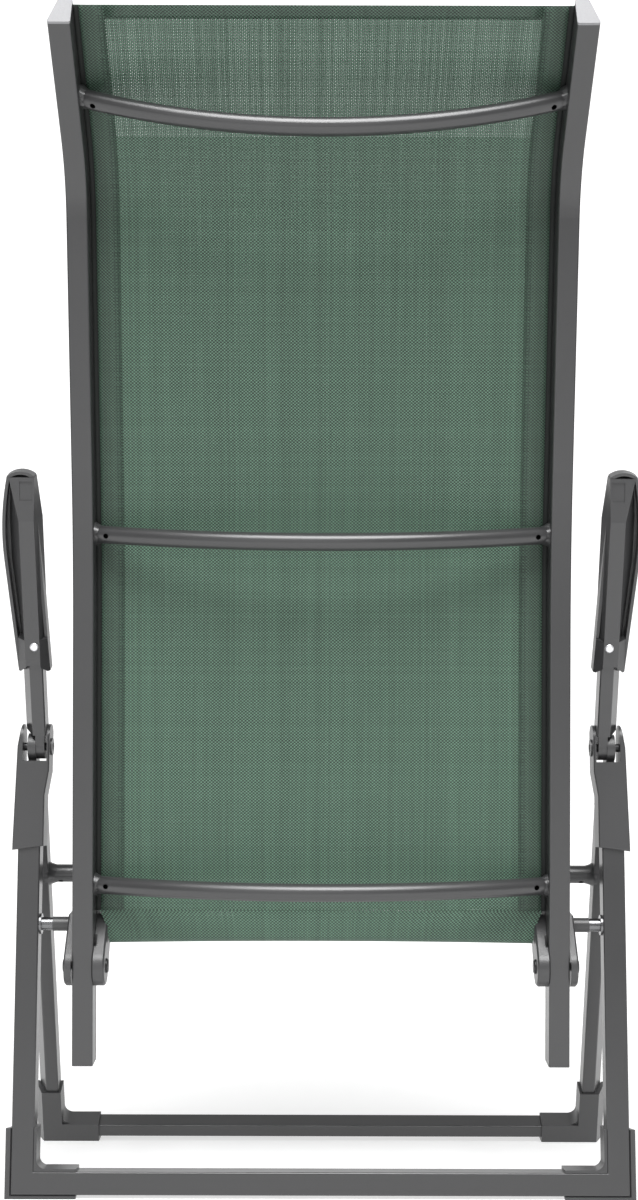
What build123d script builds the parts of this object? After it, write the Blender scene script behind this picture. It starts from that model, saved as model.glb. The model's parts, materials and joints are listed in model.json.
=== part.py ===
from build123d import *
import os
from math import asin, cos, degrees, radians, sin, sqrt, tan

# A folding deck chair with a leg rest, folded and standing on its own two floor bars.
# Sizes are in millimetres. +X is the sitter's left to right seen from behind, +Y is forward,
# +Z is up, and the origin is on the floor under the middle of the folded chair.
# Heights are above the floor and depths are forward of the rear face of the back frame.

os.makedirs("parts", exist_ok=True)

# Places of the main lines and pivots
back_face_y = -19.46
apex_depth = 64.0
apex_height = 431.0
seat_pivot_below_apex = 173.0
back_pivot_depth = 14.0
back_pivot_drop = 35.0
knee_height = 757.0
rear_angle = -6.7
front_angle = 17.5
floor_gap = 2.6

# Leg extrusion: flat side inside, slanted side outside, narrow face inside the folded legs
leg_wide = 23.0
leg_narrow = 13.0
leg_depth = 22.0
leg_wall = 1.5
leg_corner = 1.8
leg_inner_x = 277.0

# Corner shoes that join the legs to the floor bars
shoe_arm = 41.0
shoe_lip = 2.6
shoe_outer_lip = 4.5
shoe_cover = 2.5
shoe_fillet = 9.0
shoe_mark = 15.0
shoe_mark_deep = 1.2

# Fork on top of each rear leg
fork_length = 98.0
fork_outer_drop = 4.0
fork_depth = 28.0
fork_wall = 3.6
fork_outer_wall = 4.4
fork_taper = 3.2
fork_socket = 52.0
fork_neck = 24.0
fork_flare = 48.0
fork_floor = 14.4
fork_top = 22.6
fork_top_land = 1.4
cheek_wall = 2.8
boss_radius = 8.5
boss_rise = 1.6
slot_clearance = 0.4
fork_edge = 1.6

# Lever: front leg, knuckle and armrest bar in one line through the apex pivot
bar_inner_x = 272.6
bar_start = 16.0
bar_end = 112.0
front_leg_start = 66.0
knuckle_plug = 34.0
knuckle_collar = 3.0
plug_clearance = 0.3
disc_radius = 13.4
upper_disc_radius = 12.0
tongue_width = 19.0
tongue_inner_x = 283.4
tongue_thick = 8.0
upper_tongue_inner_x = 274.8
apex_pin_radius = 4.0
apex_pin_inset = 0.8
running_clearance = 0.05
cross_tube_drop = 139.0
cross_tube_radius = 9.0

# Armrest moulding, measured up the lever from its lower end
armrest_start = 82.0
armrest_length = 200.0
armrest_skin = 3.5
armrest_rim = 3.0
armrest_front = 13.0
armrest_rim_edge = -3.0
armrest_back = -13.2
armrest_foot = 34.0
armrest_foot_inner_x = 266.4
armrest_foot_outer_x = 297.4
armrest_hand_outer_x = 306.0
armrest_tip_inner_x = 273.7
armrest_tip_outer_x = 299.7
armrest_edge = 3.0
armrest_hand = 112.0
armrest_tip_round = 4.5
spine_land = 14.4
spine_base = 25.0
spine_x = 281.6
spine_end = 153.6
spine_groove = 2.0
ramp_end = 194.4
ramp_land = 24.4
ramp_x = 285.5
ramp_back = -4.0
window_width = 12.0
window_length = 18.0
window_start = 20.0
window_deep = 1.0
notch_deep = 8.0
notch_land = 11.0
notch_mouth = 26.5
screw_rise = 27.6
screw_radius = 4.2
screw_shank_radius = 2.0
screw_head_high = 1.8
screw_length = 7.0
screw_x = 279.6

# Rail extrusion of back, seat and leg rest, with a round channel for the edge bead of the cloth
rail_wide = 20.6
rail_narrow = 12.2
rail_depth = 30.0
rail_wall = 1.6
rail_corner = 1.8
rail_inner_x = 219.6
channel_radius = 2.6
channel_set_in = 4.2
channel_mouth = 2.6

# Line of the back frame, seen from the side
stile_below_pivot = 92.0
lumbar_start = 540.0
lumbar_radius = 970.0
lumbar_angle = 9.5
panel_length = 238.0
head_radius = 110.0
head_angle = 37.5
head_length = 116.0
top_cut_angle = 11.0
cap_thick = 2.2
cap_plug = 12.0

# Bowed crossbars
crossbar_radius = 8.5
crossbar_wall = 1.5
crossbar_bow = 47.0
lower_bar_rise = 43.5
middle_bar_height = 640.0
middle_bar_angle = 10.8
top_bar_up_head = 35.0
vent_radius = 2.5
vent_inset = 12.0
cross_vent_angle = 57.0
seat_bar_bow = 34.0
seat_bar_below_knee = 34.0
end_bar_below_tip = 14.0

# Cloth
cloth_thick = 1.2
hem_thick = 2.0
hem_wide = 27.0
top_hem = 13.0
bead_radius = 2.3
cloth_rise = 3.0
cloth_side_gap = 0.2
cloth_end_gap = 0.8
cloth_split = 0.3
loop_drop = 18.6
loop_half_width = 207.0

# Seat frame and its hinges
seat_gap = 4.0
seat_rail_rise = 14.0
seat_hinge_plug = 26.0
inner_cheek = 11.0
outer_cheek = 7.0
cheek_side_gap = 0.3
cheek_pivot_radius = 12.0
cheek_back_radius = 19.0
cheek_bevel = 1.6
bridge_rise = 4.0
bush_radius = 8.0
relief_deep = 2.4
relief_high = 15.0
pivot_radius = 4.0
rivet_head_radius = 7.0
rivet_head_high = 2.4
spacer_radius = 7.0
spacer_end_x = 264.0
steel_bush_radius = 6.4
washer_radius = 10.0
washer_thick = 2.0
bolt_head_radius = 6.0
bolt_head_high = 3.0
bolt_end_x = 209.0
sleeve_gap = 0.3

# Knee hinge between seat and leg rest
knee_collar = 2.0
knee_shoulder = 16.0
knee_round = 14.0
knee_tongue_inner_x = 224.6
knee_tongue = 6.0
knee_gap = 0.3
knee_pin_radius = 3.0
knee_pin_head = 5.5
knee_pin_rise = 1.5
knee_plug = 25.0
leg_rest_top = 1034.0

# Cutting bodies run past what they cut by this much
overrun = 60.0
quarter_turn = 90.0

# Planes and points worked out from the sizes above
apex = Vector(0, back_face_y + apex_depth, apex_height)
seat_pivot_height = apex_height - seat_pivot_below_apex
back_pivot_height = seat_pivot_height - back_pivot_drop
stile_bottom = back_pivot_height - stile_below_pivot
seat_rail_bottom = seat_pivot_height + seat_rail_rise
cloth_bottom = seat_rail_bottom + cloth_rise
loop_bottom = seat_pivot_height - loop_drop
lower_bar_height = seat_pivot_height + lower_bar_rise
leg_half = leg_depth / 2
seat_face = rail_depth + seat_gap
seat_back = seat_face + rail_depth
knee_depth = seat_face + rail_depth / 2
seat_pivot_depth = apex_depth + seat_pivot_below_apex * tan(radians(rear_angle))
slot_inner_x = bar_inner_x - slot_clearance
slot_outer_x = bar_inner_x + leg_wide + slot_clearance
back_edges = (back_face_y, back_face_y + rail_depth)
seat_edges = (back_face_y + seat_back, back_face_y + seat_face)


def side_view(x=0):
    """Side view of the whole chair: local x is depth, local y is height."""
    return Plane(origin=(x, back_face_y, 0), x_dir=(0, 1, 0), z_dir=(1, 0, 0))


def down_leg(lean):
    """Direction from the apex pivot down a leg that leans forward by this angle."""
    return Vector(0, sin(radians(lean)), -cos(radians(lean)))


def beside_leg(lean, x=0):
    """Side view of a leg frame: local x runs down the leg from the apex, local y forward."""
    return Plane(origin=apex + Vector(x, 0, 0), x_dir=down_leg(lean), z_dir=(1, 0, 0))


def across_leg(lean, distance):
    """Section of a leg this far below the apex: local x is sideways, local y forward."""
    down = down_leg(lean)
    return Plane(origin=apex + down * distance, x_dir=(1, 0, 0), z_dir=-down)


def behind_leg(lean):
    """Rear view of a leg frame: local x is sideways, local y runs up the leg."""
    return Plane(origin=apex, x_dir=(1, 0, 0), z_dir=down_leg(lean).cross(Vector(1, 0, 0)))


def leg_length(lean):
    """Distance from the apex to the underside of the floor bar."""
    slope = radians(abs(lean))
    return (apex_height - floor_gap + leg_half * sin(slope)) / cos(slope)


def save(name, solid):
    """Label one finished piece and write it to its own file."""
    solid.label = name
    export_step(solid, f"parts/{name}.step")


def save_pair(name, solid):
    """Write a piece of the right side and its mirror image on the left."""
    save(f"{name}_right", solid)
    save(f"{name}_left", mirror(solid, about=Plane.YZ))


def save_twins(name, solid):
    """Write a right piece and its mirror image as one node of two solids."""
    save(name, Compound(children=[solid, mirror(solid, about=Plane.YZ)]))


def trapezoid(flat, wide_edge, narrow_edge, wide, narrow, mode=Mode.ADD):
    """Outline of an extrusion with one flat side and one slanted side."""
    Polygon(
        (flat, wide_edge),
        (flat + wide, wide_edge),
        (flat + narrow, narrow_edge),
        (flat, narrow_edge),
        align=None,
        mode=mode,
    )


def hollow(section, corner, wall):
    """Round the corners of an outline and open its inside."""
    fillet(section.vertices(), radius=corner)
    offset(amount=-wall, kind=Kind.INTERSECTION, mode=Mode.SUBTRACT)


def leg_outline(flat, wide_side, mode=Mode.ADD):
    """Leg section; wide_side is 1 where the wide face looks forward and -1 where it looks back."""
    trapezoid(flat, wide_side * leg_half, -wide_side * leg_half, leg_wide, leg_narrow, mode)


def leg_plug(flat, wide_side):
    """Outline of what slips into a leg tube."""
    leg_outline(flat, wide_side)
    offset(amount=-leg_wall - plug_clearance, kind=Kind.INTERSECTION, mode=Mode.REPLACE)


def rail_outline(wide_edge, narrow_edge):
    """Closed outline of the rail extrusion."""
    trapezoid(rail_inner_x, wide_edge, narrow_edge, rail_wide, rail_narrow)


def channel_place(wide_edge, narrow_edge):
    """Where the bead channel lies, beside the narrow face."""
    towards_wide = 1 if wide_edge > narrow_edge else -1
    return narrow_edge + towards_wide * channel_set_in


def rail_section(section, wide_edge, narrow_edge):
    """Hollow rail with the bead channel opening on its flat side."""
    rail_outline(wide_edge, narrow_edge)
    hollow(section, rail_corner, rail_wall)
    depth = channel_place(wide_edge, narrow_edge)
    with Locations((rail_inner_x + channel_set_in, depth)):
        Circle(channel_set_in)
        Circle(channel_radius, mode=Mode.SUBTRACT)
    with Locations((rail_inner_x, depth)):
        Rectangle(channel_set_in, channel_mouth, align=(Align.MIN, Align.CENTER), mode=Mode.SUBTRACT)


def rail_plug(wide_edge, narrow_edge):
    """Outline of what slips into a rail, clear of the channel."""
    rail_outline(wide_edge, narrow_edge)
    offset(amount=-rail_wall - plug_clearance, kind=Kind.INTERSECTION, mode=Mode.REPLACE)
    with Locations((rail_inner_x + channel_set_in, channel_place(wide_edge, narrow_edge))):
        Circle(channel_set_in + plug_clearance, mode=Mode.SUBTRACT)


def round_pin(plane, radius, length, mode=Mode.ADD):
    """Cylinder that starts on a plane and runs along its normal."""
    with BuildSketch(plane) as disc:
        Circle(radius)
    extrude(disc.sketch, amount=length, mode=mode)


def at_depth(x, depth, height):
    """Plane square to X at a point given by depth and height."""
    return Plane(origin=(x, back_face_y + depth, height), x_dir=(0, 1, 0), z_dir=(1, 0, 0))


# Leg frames: two legs, a floor bar mitred between them and a shoe on each corner
def mitre(lean, side=1):
    """Plane through a bottom corner that parts the leg from the floor bar."""
    down = down_leg(lean)
    corner = apex + down * (leg_length(lean) - leg_wide) + Vector(side * leg_inner_x, 0, 0)
    return Plane(origin=corner, z_dir=Vector(side, 0, 0) - down)


def leg_tube(lean, wide_side, start):
    """Hollow leg that starts this far below the apex and ends at the mitre."""
    length = leg_length(lean)
    with BuildPart() as leg:
        with BuildSketch(across_leg(lean, length)) as section:
            leg_outline(leg_inner_x, wide_side)
            hollow(section, leg_corner, leg_wall)
        extrude(amount=length - start)
        split(bisect_by=mitre(lean), keep=Keep.TOP)
    return leg.part


def floor_bar(lean, wide_side):
    """Hollow bar with its flat side up, mitred at both ends."""
    with BuildPart() as bar:
        with BuildSketch(beside_leg(lean)) as section:
            leg_outline(leg_length(lean) - leg_wide, wide_side)
            hollow(section, leg_corner, leg_wall)
        extrude(amount=leg_inner_x + leg_wide, both=True)
        for side in (-1, 1):
            split(bisect_by=mitre(lean, side), keep=Keep.BOTTOM)
    return bar.part


def corner_shoe(lean, wide_side):
    """Moulded corner that holds leg and bar on three sides and stands on the floor."""
    down = down_leg(lean)
    inner_height = leg_length(lean) - leg_wide
    corner = apex + down * inner_height + Vector(leg_inner_x, 0, 0)
    wide_edge = wide_side * leg_half
    cover_edge = -wide_side * (leg_half + shoe_cover)
    with BuildPart() as shoe:
        with BuildLine() as route:
            Polyline(corner - down * shoe_arm, corner, corner - Vector(shoe_arm, 0, 0))
        with BuildSketch(across_leg(lean, inner_height - shoe_arm)):
            trapezoid(
                leg_inner_x - shoe_lip,
                wide_edge,
                cover_edge,
                leg_wide + shoe_lip + shoe_outer_lip,
                leg_narrow + shoe_lip + shoe_outer_lip,
            )
            leg_outline(leg_inner_x, wide_side, Mode.SUBTRACT)
        sweep(path=route.wire(), transition=Transition.RIGHT)
        inside = Vector(leg_inner_x - shoe_lip, shoe_lip - inner_height)
        with BuildSketch(behind_leg(lean)):
            with BuildLine():
                Polyline(inside + (0, shoe_fillet), inside, inside - (shoe_fillet, 0))
                CenterArc(inside + (-shoe_fillet, shoe_fillet), shoe_fillet, -quarter_turn, quarter_turn)
            make_face()
        extrude(amount=leg_half, both=True)
        mark = Vector(leg_inner_x, -inner_height)
        with BuildSketch(behind_leg(lean).offset(wide_side * (leg_half + shoe_cover))):
            Polygon(mark, mark + (shoe_mark, 0), mark - (0, shoe_mark), align=None)
        extrude(amount=-wide_side * shoe_mark_deep, mode=Mode.SUBTRACT)
        split(bisect_by=Plane.XY, keep=Keep.TOP)
    return shoe.part


save("rear_floor_bar", floor_bar(rear_angle, -1))
save("front_floor_bar", floor_bar(front_angle, 1))
save_pair("rear_corner", corner_shoe(rear_angle, -1))
save_pair("front_corner", corner_shoe(front_angle, 1))
save_pair("front_leg", leg_tube(front_angle, 1, front_leg_start))

# Rear leg with the bore of the seat pivot and a flat spot under the bolt head
bolt_seat_x = leg_inner_x + (leg_wide + leg_narrow) / 2
with BuildPart() as rear_leg:
    add(leg_tube(rear_angle, -1, fork_socket))
    round_pin(at_depth(leg_inner_x - leg_wall, seat_pivot_depth, seat_pivot_height), pivot_radius,
              leg_wide, Mode.SUBTRACT)
    round_pin(at_depth(bolt_seat_x, seat_pivot_depth, seat_pivot_height), bolt_head_radius,
              leg_wide, Mode.SUBTRACT)
save_pair("rear_leg", rear_leg.part)

# Fork: a sleeve on the rear leg that opens into two cheeks round the lever
fork_bottom_inner_x = leg_inner_x - fork_wall
fork_outer_x = leg_inner_x + leg_wide + fork_outer_wall
cheek_inner_x = slot_inner_x - cheek_wall
with BuildPart() as fork:
    with BuildSketch(behind_leg(rear_angle)):
        Polygon(
            (fork_bottom_inner_x, -fork_length),
            (fork_outer_x, -fork_length - fork_outer_drop),
            (fork_outer_x - fork_taper, 0),
            (slot_outer_x + fork_top_land, fork_top),
            (cheek_inner_x, fork_top),
            (cheek_inner_x, -fork_neck),
            (fork_bottom_inner_x, -fork_flare),
            align=None,
        )
    extrude(amount=fork_depth / 2, both=True)
    for face in (0, -1):
        rim = fork.faces().sort_by(Axis(apex, behind_leg(rear_angle).z_dir))[face]
        fillet(rim.edges(), radius=fork_edge)
    with BuildSketch(beside_leg(rear_angle)):
        round_start = fork_depth / 2 - fork_top
        with Locations((round_start, 0)):
            Circle(fork_depth / 2)
            Rectangle(fork_length + overrun, fork_depth, align=(Align.MIN, Align.CENTER))
    extrude(amount=fork_outer_x + overrun, mode=Mode.INTERSECT)
    with BuildSketch(across_leg(rear_angle, fork_length + overrun)):
        slant = fork_outer_x - leg_wide + leg_narrow
        Polygon(
            (fork_outer_x, -fork_depth / 2),
            (fork_outer_x + overrun, -fork_depth / 2),
            (fork_outer_x + overrun, fork_depth / 2),
            (slant, fork_depth / 2),
            align=None,
        )
    extrude(amount=fork_length + overrun - fork_flare, mode=Mode.SUBTRACT)
    round_pin(beside_leg(rear_angle, cheek_inner_x), boss_radius, -boss_rise)
    with BuildSketch(beside_leg(rear_angle, slot_inner_x)):
        with Locations((fork_floor, 0)):
            Rectangle(overrun, overrun, align=(Align.MAX, Align.CENTER))
    extrude(amount=slot_outer_x - slot_inner_x, mode=Mode.SUBTRACT)
    with BuildSketch(beside_leg(front_angle, tongue_inner_x - slot_clearance)):
        with Locations((0, -tongue_width / 2 - slot_clearance)):
            Rectangle(overrun + fork_floor, overrun, align=(Align.MIN, Align.MIN))
    extrude(amount=tongue_thick + 2 * slot_clearance, mode=Mode.SUBTRACT)
    with BuildSketch(across_leg(rear_angle, fork_length + overrun)):
        leg_outline(leg_inner_x, -1)
    extrude(amount=fork_length + overrun - fork_socket, mode=Mode.SUBTRACT)
    round_pin(beside_leg(rear_angle, cheek_inner_x - boss_rise), apex_pin_radius,
              fork_outer_x - cheek_inner_x + overrun, Mode.SUBTRACT)
save_pair("leg_fork", fork.part)

# Pin of the apex pivot, set a little into both cheeks
apex_pin_start_x = cheek_inner_x - boss_rise + apex_pin_inset
apex_pin_end_x = fork_outer_x - fork_taper - apex_pin_inset
with BuildPart() as apex_pin:
    round_pin(beside_leg(rear_angle, apex_pin_start_x), apex_pin_radius,
              apex_pin_end_x - apex_pin_start_x)
save_twins("apex_pins", apex_pin.part)

# Knuckle that joins the front leg to the armrest bar through the fork
with BuildPart() as knuckle:
    with BuildSketch(across_leg(front_angle, front_leg_start + knuckle_plug)):
        leg_plug(leg_inner_x, 1)
    extrude(amount=knuckle_plug)
    with BuildSketch(across_leg(front_angle, front_leg_start)):
        leg_outline(leg_inner_x, 1)
    extrude(amount=knuckle_collar)
    with BuildSketch(beside_leg(front_angle, tongue_inner_x)):
        Circle(disc_radius)
        Rectangle(front_leg_start, tongue_width, align=(Align.MIN, Align.CENTER))
    extrude(amount=tongue_thick)
    with BuildSketch(beside_leg(front_angle, upper_tongue_inner_x)):
        Circle(upper_disc_radius)
        Rectangle(bar_start, leg_depth, align=(Align.MAX, Align.CENTER))
    extrude(amount=tongue_inner_x - upper_tongue_inner_x)
    with BuildSketch(across_leg(front_angle, -bar_start)):
        leg_plug(bar_inner_x, 1)
    extrude(amount=knuckle_plug)
    round_pin(beside_leg(front_angle, upper_tongue_inner_x), apex_pin_radius + running_clearance,
              overrun, Mode.SUBTRACT)
save_pair("front_knuckle", knuckle.part)

# Armrest bar, with a hole for the screw that holds the armrest
screw_up = armrest_start + screw_rise
with BuildPart() as armrest_bar:
    with BuildSketch(across_leg(front_angle, -bar_start)) as section:
        leg_outline(bar_inner_x, 1)
        hollow(section, leg_corner, leg_wall)
    extrude(amount=bar_end - bar_start)
    with BuildSketch(behind_leg(front_angle)):
        with Locations((screw_x, screw_up)):
            Circle(screw_shank_radius)
    extrude(amount=leg_depth, mode=Mode.SUBTRACT)
save_pair("armrest_bar", armrest_bar.part)

# Armrest: a board with a turned rim, a spine under it and a foot that takes the bar
armrest_end = armrest_start + armrest_length
board_plane = behind_leg(front_angle)
foot_top_up = armrest_start + armrest_foot
hand_up = armrest_start + armrest_hand
hand_root_x = armrest_hand_outer_x - armrest_rim - spine_groove
foot_widening = (armrest_hand_outer_x - armrest_foot_outer_x) * armrest_foot / armrest_hand
foot_root_x = armrest_foot_outer_x + foot_widening - armrest_rim - spine_groove


def armrest_outline():
    """Plan of the board, from the wings at its foot to the rounded tip."""
    shoulder_up = armrest_end - armrest_tip_round
    foot_inner = (armrest_foot_inner_x, armrest_start)
    foot_outer = (armrest_foot_outer_x, armrest_start)
    tip_inner = (armrest_tip_inner_x, shoulder_up)
    tip_outer = (armrest_tip_outer_x, shoulder_up)
    with BuildLine() as outline:
        Polyline(tip_inner, foot_inner, foot_outer)
        flank = Line(foot_outer, (armrest_hand_outer_x, hand_up))
        TangentArc(flank @ 1, tip_outer, tangent=flank % 1)
        tip_middle = ((armrest_tip_inner_x + armrest_tip_outer_x) / 2, armrest_end)
        ThreePointArc(tip_inner, tip_middle, tip_outer)
    make_face(outline.edges())


def spine_outline(middle, land, back, outer):
    """Section of the spine: a narrow land at the back on a wide root under the board."""
    root = armrest_front - armrest_skin
    Polygon(
        (middle - spine_base / 2, root),
        (middle - land / 2, back),
        (middle + land / 2, back),
        (outer, root),
        align=None,
    )


spine_top_up = armrest_start + spine_end
ramp_top_up = armrest_start + ramp_end
ramp_foot = beside_leg(front_angle).from_local_coords(Vector(-spine_top_up, armrest_back, spine_x))
ramp_head = beside_leg(front_angle).from_local_coords(Vector(-ramp_top_up, ramp_back, spine_x))
ramp_plane = Plane(
    origin=ramp_foot,
    x_dir=(1, 0, 0),
    z_dir=Vector(1, 0, 0).cross(ramp_head - ramp_foot),
)
with BuildPart() as armrest:
    with BuildSketch(board_plane.offset(-armrest_front)):
        armrest_outline()
    extrude(amount=armrest_front - armrest_rim_edge)
    with BuildSketch(board_plane.offset(-armrest_front)):
        armrest_outline()
        with Locations((armrest_foot_inner_x, armrest_start)):
            Rectangle(overrun, armrest_foot, align=(Align.MIN, Align.MIN), mode=Mode.INTERSECT)
    extrude(amount=armrest_front - armrest_back)
    to_the_rear = Axis(apex, down_leg(front_angle).cross(Vector(1, 0, 0)))
    top_edges = armrest.faces().sort_by(to_the_rear)[0].edges().sort_by(Axis.Z)
    fillet(top_edges[1:], radius=armrest_edge)
    with BuildSketch(board_plane.offset(armrest_skin - armrest_front)):
        armrest_outline()
        offset(amount=-armrest_rim, kind=Kind.INTERSECTION, mode=Mode.REPLACE)
        with Locations((armrest_foot_inner_x, armrest_start)):
            Rectangle(overrun, armrest_foot, align=(Align.MIN, Align.MIN), mode=Mode.SUBTRACT)
    extrude(amount=overrun, mode=Mode.SUBTRACT)
    with BuildSketch(across_leg(front_angle, -armrest_start)):
        for edge_x, land_x in (
            (armrest_foot_inner_x, spine_x - spine_land / 2),
            (armrest_foot_outer_x, spine_x + spine_land / 2),
        ):
            away = overrun if edge_x > land_x else -overrun
            Polygon(
                (land_x, armrest_back),
                (edge_x, armrest_rim_edge),
                (edge_x + away, armrest_rim_edge),
                (edge_x + away, armrest_back),
                align=None,
            )
    extrude(amount=armrest_foot, mode=Mode.SUBTRACT)
    for outer, start_up, end_outer, end_up in (
        (foot_root_x, foot_top_up, hand_root_x, hand_up),
        (hand_root_x, hand_up, hand_root_x, spine_top_up),
    ):
        with BuildSketch(across_leg(front_angle, -start_up)):
            spine_outline(spine_x, spine_land, armrest_back, outer)
        with BuildSketch(across_leg(front_angle, -end_up)):
            spine_outline(spine_x, spine_land, armrest_back, end_outer)
        loft()
    with BuildSketch(across_leg(front_angle, -spine_top_up)):
        spine_outline(spine_x, spine_land, armrest_back, hand_root_x)
    with BuildSketch(across_leg(front_angle, -ramp_top_up)):
        spine_outline(ramp_x, ramp_land, ramp_back, ramp_x + ramp_land / 2)
    loft()
    with BuildSketch(across_leg(front_angle, -armrest_start)):
        leg_outline(bar_inner_x, 1)
    extrude(amount=bar_end - armrest_start, mode=Mode.SUBTRACT)
    notch_x = (armrest_foot_inner_x + armrest_foot_outer_x) / 2
    with BuildSketch(board_plane):
        Polygon(
            (notch_x - notch_mouth / 2, armrest_start),
            (notch_x + notch_mouth / 2, armrest_start),
            (notch_x + notch_land / 2, armrest_start + notch_deep),
            (notch_x - notch_land / 2, armrest_start + notch_deep),
            align=None,
        )
    extrude(amount=overrun, mode=Mode.SUBTRACT)
    with BuildSketch(ramp_plane.offset(-window_deep)):
        with Locations((0, window_start)):
            Rectangle(window_width, window_length, align=(Align.CENTER, Align.MIN))
    extrude(amount=overrun, mode=Mode.SUBTRACT)
    with BuildSketch(board_plane):
        with Locations((screw_x, screw_up)):
            Circle(screw_shank_radius)
    extrude(amount=overrun, mode=Mode.SUBTRACT)
save_pair("armrest", armrest.part)

# Screw that holds each armrest to its bar
with BuildPart() as armrest_screw:
    screw_seat = board_plane.offset(-armrest_back)
    with BuildSketch(screw_seat):
        with Locations((screw_x, screw_up)):
            Circle(screw_radius)
    extrude(amount=screw_head_high)
    chamfer(armrest_screw.faces().sort_by(to_the_rear)[-1].edges(), length=screw_head_high / 2)
    with BuildSketch(screw_seat):
        with Locations((screw_x, screw_up)):
            Circle(screw_shank_radius)
    extrude(amount=-screw_length)
save_twins("armrest_screws", armrest_screw.part)


def vent(point, direction, reach):
    """Drill the small vent hole of a welded tube from its middle line outwards."""
    with BuildSketch(Plane(origin=point, z_dir=direction)) as hole:
        Circle(vent_radius)
    extrude(hole.sketch, amount=reach, mode=Mode.SUBTRACT)


# Tube that joins the two front legs and carries the seat when the chair stands open
cross_point = apex + down_leg(front_angle) * cross_tube_drop
with BuildPart() as cross_tube:
    with BuildSketch(Plane(origin=cross_point, x_dir=(0, 1, 0), z_dir=(1, 0, 0))):
        Circle(cross_tube_radius)
        Circle(cross_tube_radius - crossbar_wall, mode=Mode.SUBTRACT)
    extrude(amount=leg_inner_x, both=True)
    slope = radians(cross_vent_angle)
    for side in (-1, 1):
        place = cross_point + Vector(side * (leg_inner_x - vent_inset), 0, 0)
        vent(place, (0, -cos(slope), -sin(slope)), overrun)
save("front_cross_tube", cross_tube.part)


# Back frame
def back_line(bottom, trim=0):
    """Rear face of a stile from this height to its top, less a trim, as a line in the side view."""
    with BuildLine() as line:
        upright = Line((0, bottom), (0, lumbar_start))
        lumbar = JernArc(upright @ 1, upright % 1, radius=lumbar_radius, arc_size=lumbar_angle)
        panel = Line(lumbar @ 1, lumbar @ 1 + (lumbar % 1) * panel_length)
        head = JernArc(panel @ 1, panel % 1, radius=head_radius, arc_size=head_angle)
        Line(head @ 1, head @ 1 + (head % 1) * (head_length - trim))
    return side_view() * line.wire()


stile_line = back_line(stile_bottom)
head_start = lumbar_start - stile_bottom + panel_length
head_start += radians(lumbar_angle) * lumbar_radius + radians(head_angle) * head_radius


def on_back(distance, lean=None):
    """Plane across the back frame in the middle of the stiles, this far up their line."""
    place = stile_line.position_at(distance, position_mode=PositionMode.LENGTH)
    along = stile_line.tangent_at(distance, position_mode=PositionMode.LENGTH)
    forward = along.cross(Vector(1, 0, 0))
    if lean is not None:
        along = Vector(0, -sin(radians(lean)), cos(radians(lean)))
    return Plane(origin=place + forward * rail_depth / 2, x_dir=(1, 0, 0), z_dir=along)


top_lean = sum((lumbar_angle, head_angle, top_cut_angle))
top_plane = Plane(origin=stile_line @ 1, x_dir=(1, 0, 0), z_dir=-down_leg(top_lean))
top_cut_slope = tan(radians(top_cut_angle))
top_depth = rail_depth / cos(radians(top_cut_angle))

with BuildPart() as back_stile:
    with BuildSketch(Plane.XY.offset(stile_bottom)) as section:
        rail_section(section, *back_edges)
    sweep(path=back_line(stile_bottom, -rail_depth * top_cut_slope))
    split(bisect_by=top_plane, keep=Keep.BOTTOM)
    round_pin(at_depth(rail_inner_x, back_pivot_depth, back_pivot_height),
              pivot_radius + running_clearance, rail_wide, Mode.SUBTRACT)
save_pair("back_stile", back_stile.part)


def end_cap(plane, edges, along=None):
    """Plastic cap on the end of a rail, with a plug that runs along the rail."""
    along = along or plane.z_dir
    with BuildPart() as cap:
        with BuildSketch(plane) as face:
            rail_outline(*edges)
            fillet(face.vertices(), radius=rail_corner)
        extrude(amount=cap_thick, dir=along)
        with BuildSketch(plane):
            rail_plug(*edges)
        extrude(amount=cap_plug, dir=-along)
    return cap.part


save_twins("stile_top_caps", end_cap(top_plane, (0, top_depth), stile_line % 1))
stile_foot = Plane(origin=(0, back_face_y + rail_depth, stile_bottom), x_dir=(1, 0, 0), z_dir=(0, 0, -1))
save_twins("stile_bottom_caps", end_cap(stile_foot, (rail_depth, 0)))


def bowed_bar(plane, bow, half_width):
    """Round tube bowed out of the frame's plane, cut flush with the rails it is welded to."""
    radius = (half_width**2 + bow**2) / (2 * bow)
    half_turn = asin(half_width / radius) + crossbar_radius / radius
    with BuildPart() as bar:
        with BuildLine(plane) as route:
            middle = (0, radius - bow)
            CenterArc(middle, radius, degrees(-half_turn) - quarter_turn, degrees(2 * half_turn))
        with BuildSketch(Plane(origin=route.line @ 0, z_dir=route.line % 0)):
            Circle(crossbar_radius)
            Circle(crossbar_radius - crossbar_wall, mode=Mode.SUBTRACT)
        sweep(path=route.wire())
        split(bisect_by=Plane.YZ.offset(half_width), keep=Keep.BOTTOM)
        split(bisect_by=Plane.YZ.offset(-half_width), keep=Keep.TOP)
        reach = half_width - vent_inset
        setback = radius - bow - sqrt(radius**2 - reach**2)
        for side in (-1, 1):
            vent(plane.from_local_coords(Vector(side * reach, setback, 0)), -plane.y_dir, overrun)
    return bar.part


save("lower_crossbar", bowed_bar(on_back(lower_bar_height - stile_bottom), crossbar_bow,
                                 rail_inner_x))
save("middle_crossbar", bowed_bar(on_back(middle_bar_height - stile_bottom, middle_bar_angle),
                                  crossbar_bow, rail_inner_x))
save("top_crossbar", bowed_bar(on_back(head_start + top_bar_up_head), crossbar_bow,
                               rail_inner_x))


# Cloth: a thin sheet with doubled side hems and a bead along each edge, held in the channels
def cloth_band(depth, half_width, thick):
    """Section of the plain sheet between the rails."""
    with Locations((0, depth)):
        Rectangle(2 * half_width, thick)


def cloth_section(depth):
    """Section of the whole sheet, out to the beads in the channels."""
    cloth_band(depth, rail_inner_x + channel_set_in, cloth_thick)
    cloth_hems(depth)
    with Locations((-rail_inner_x - channel_set_in, depth), (rail_inner_x + channel_set_in, depth)):
        Circle(bead_radius)


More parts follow.
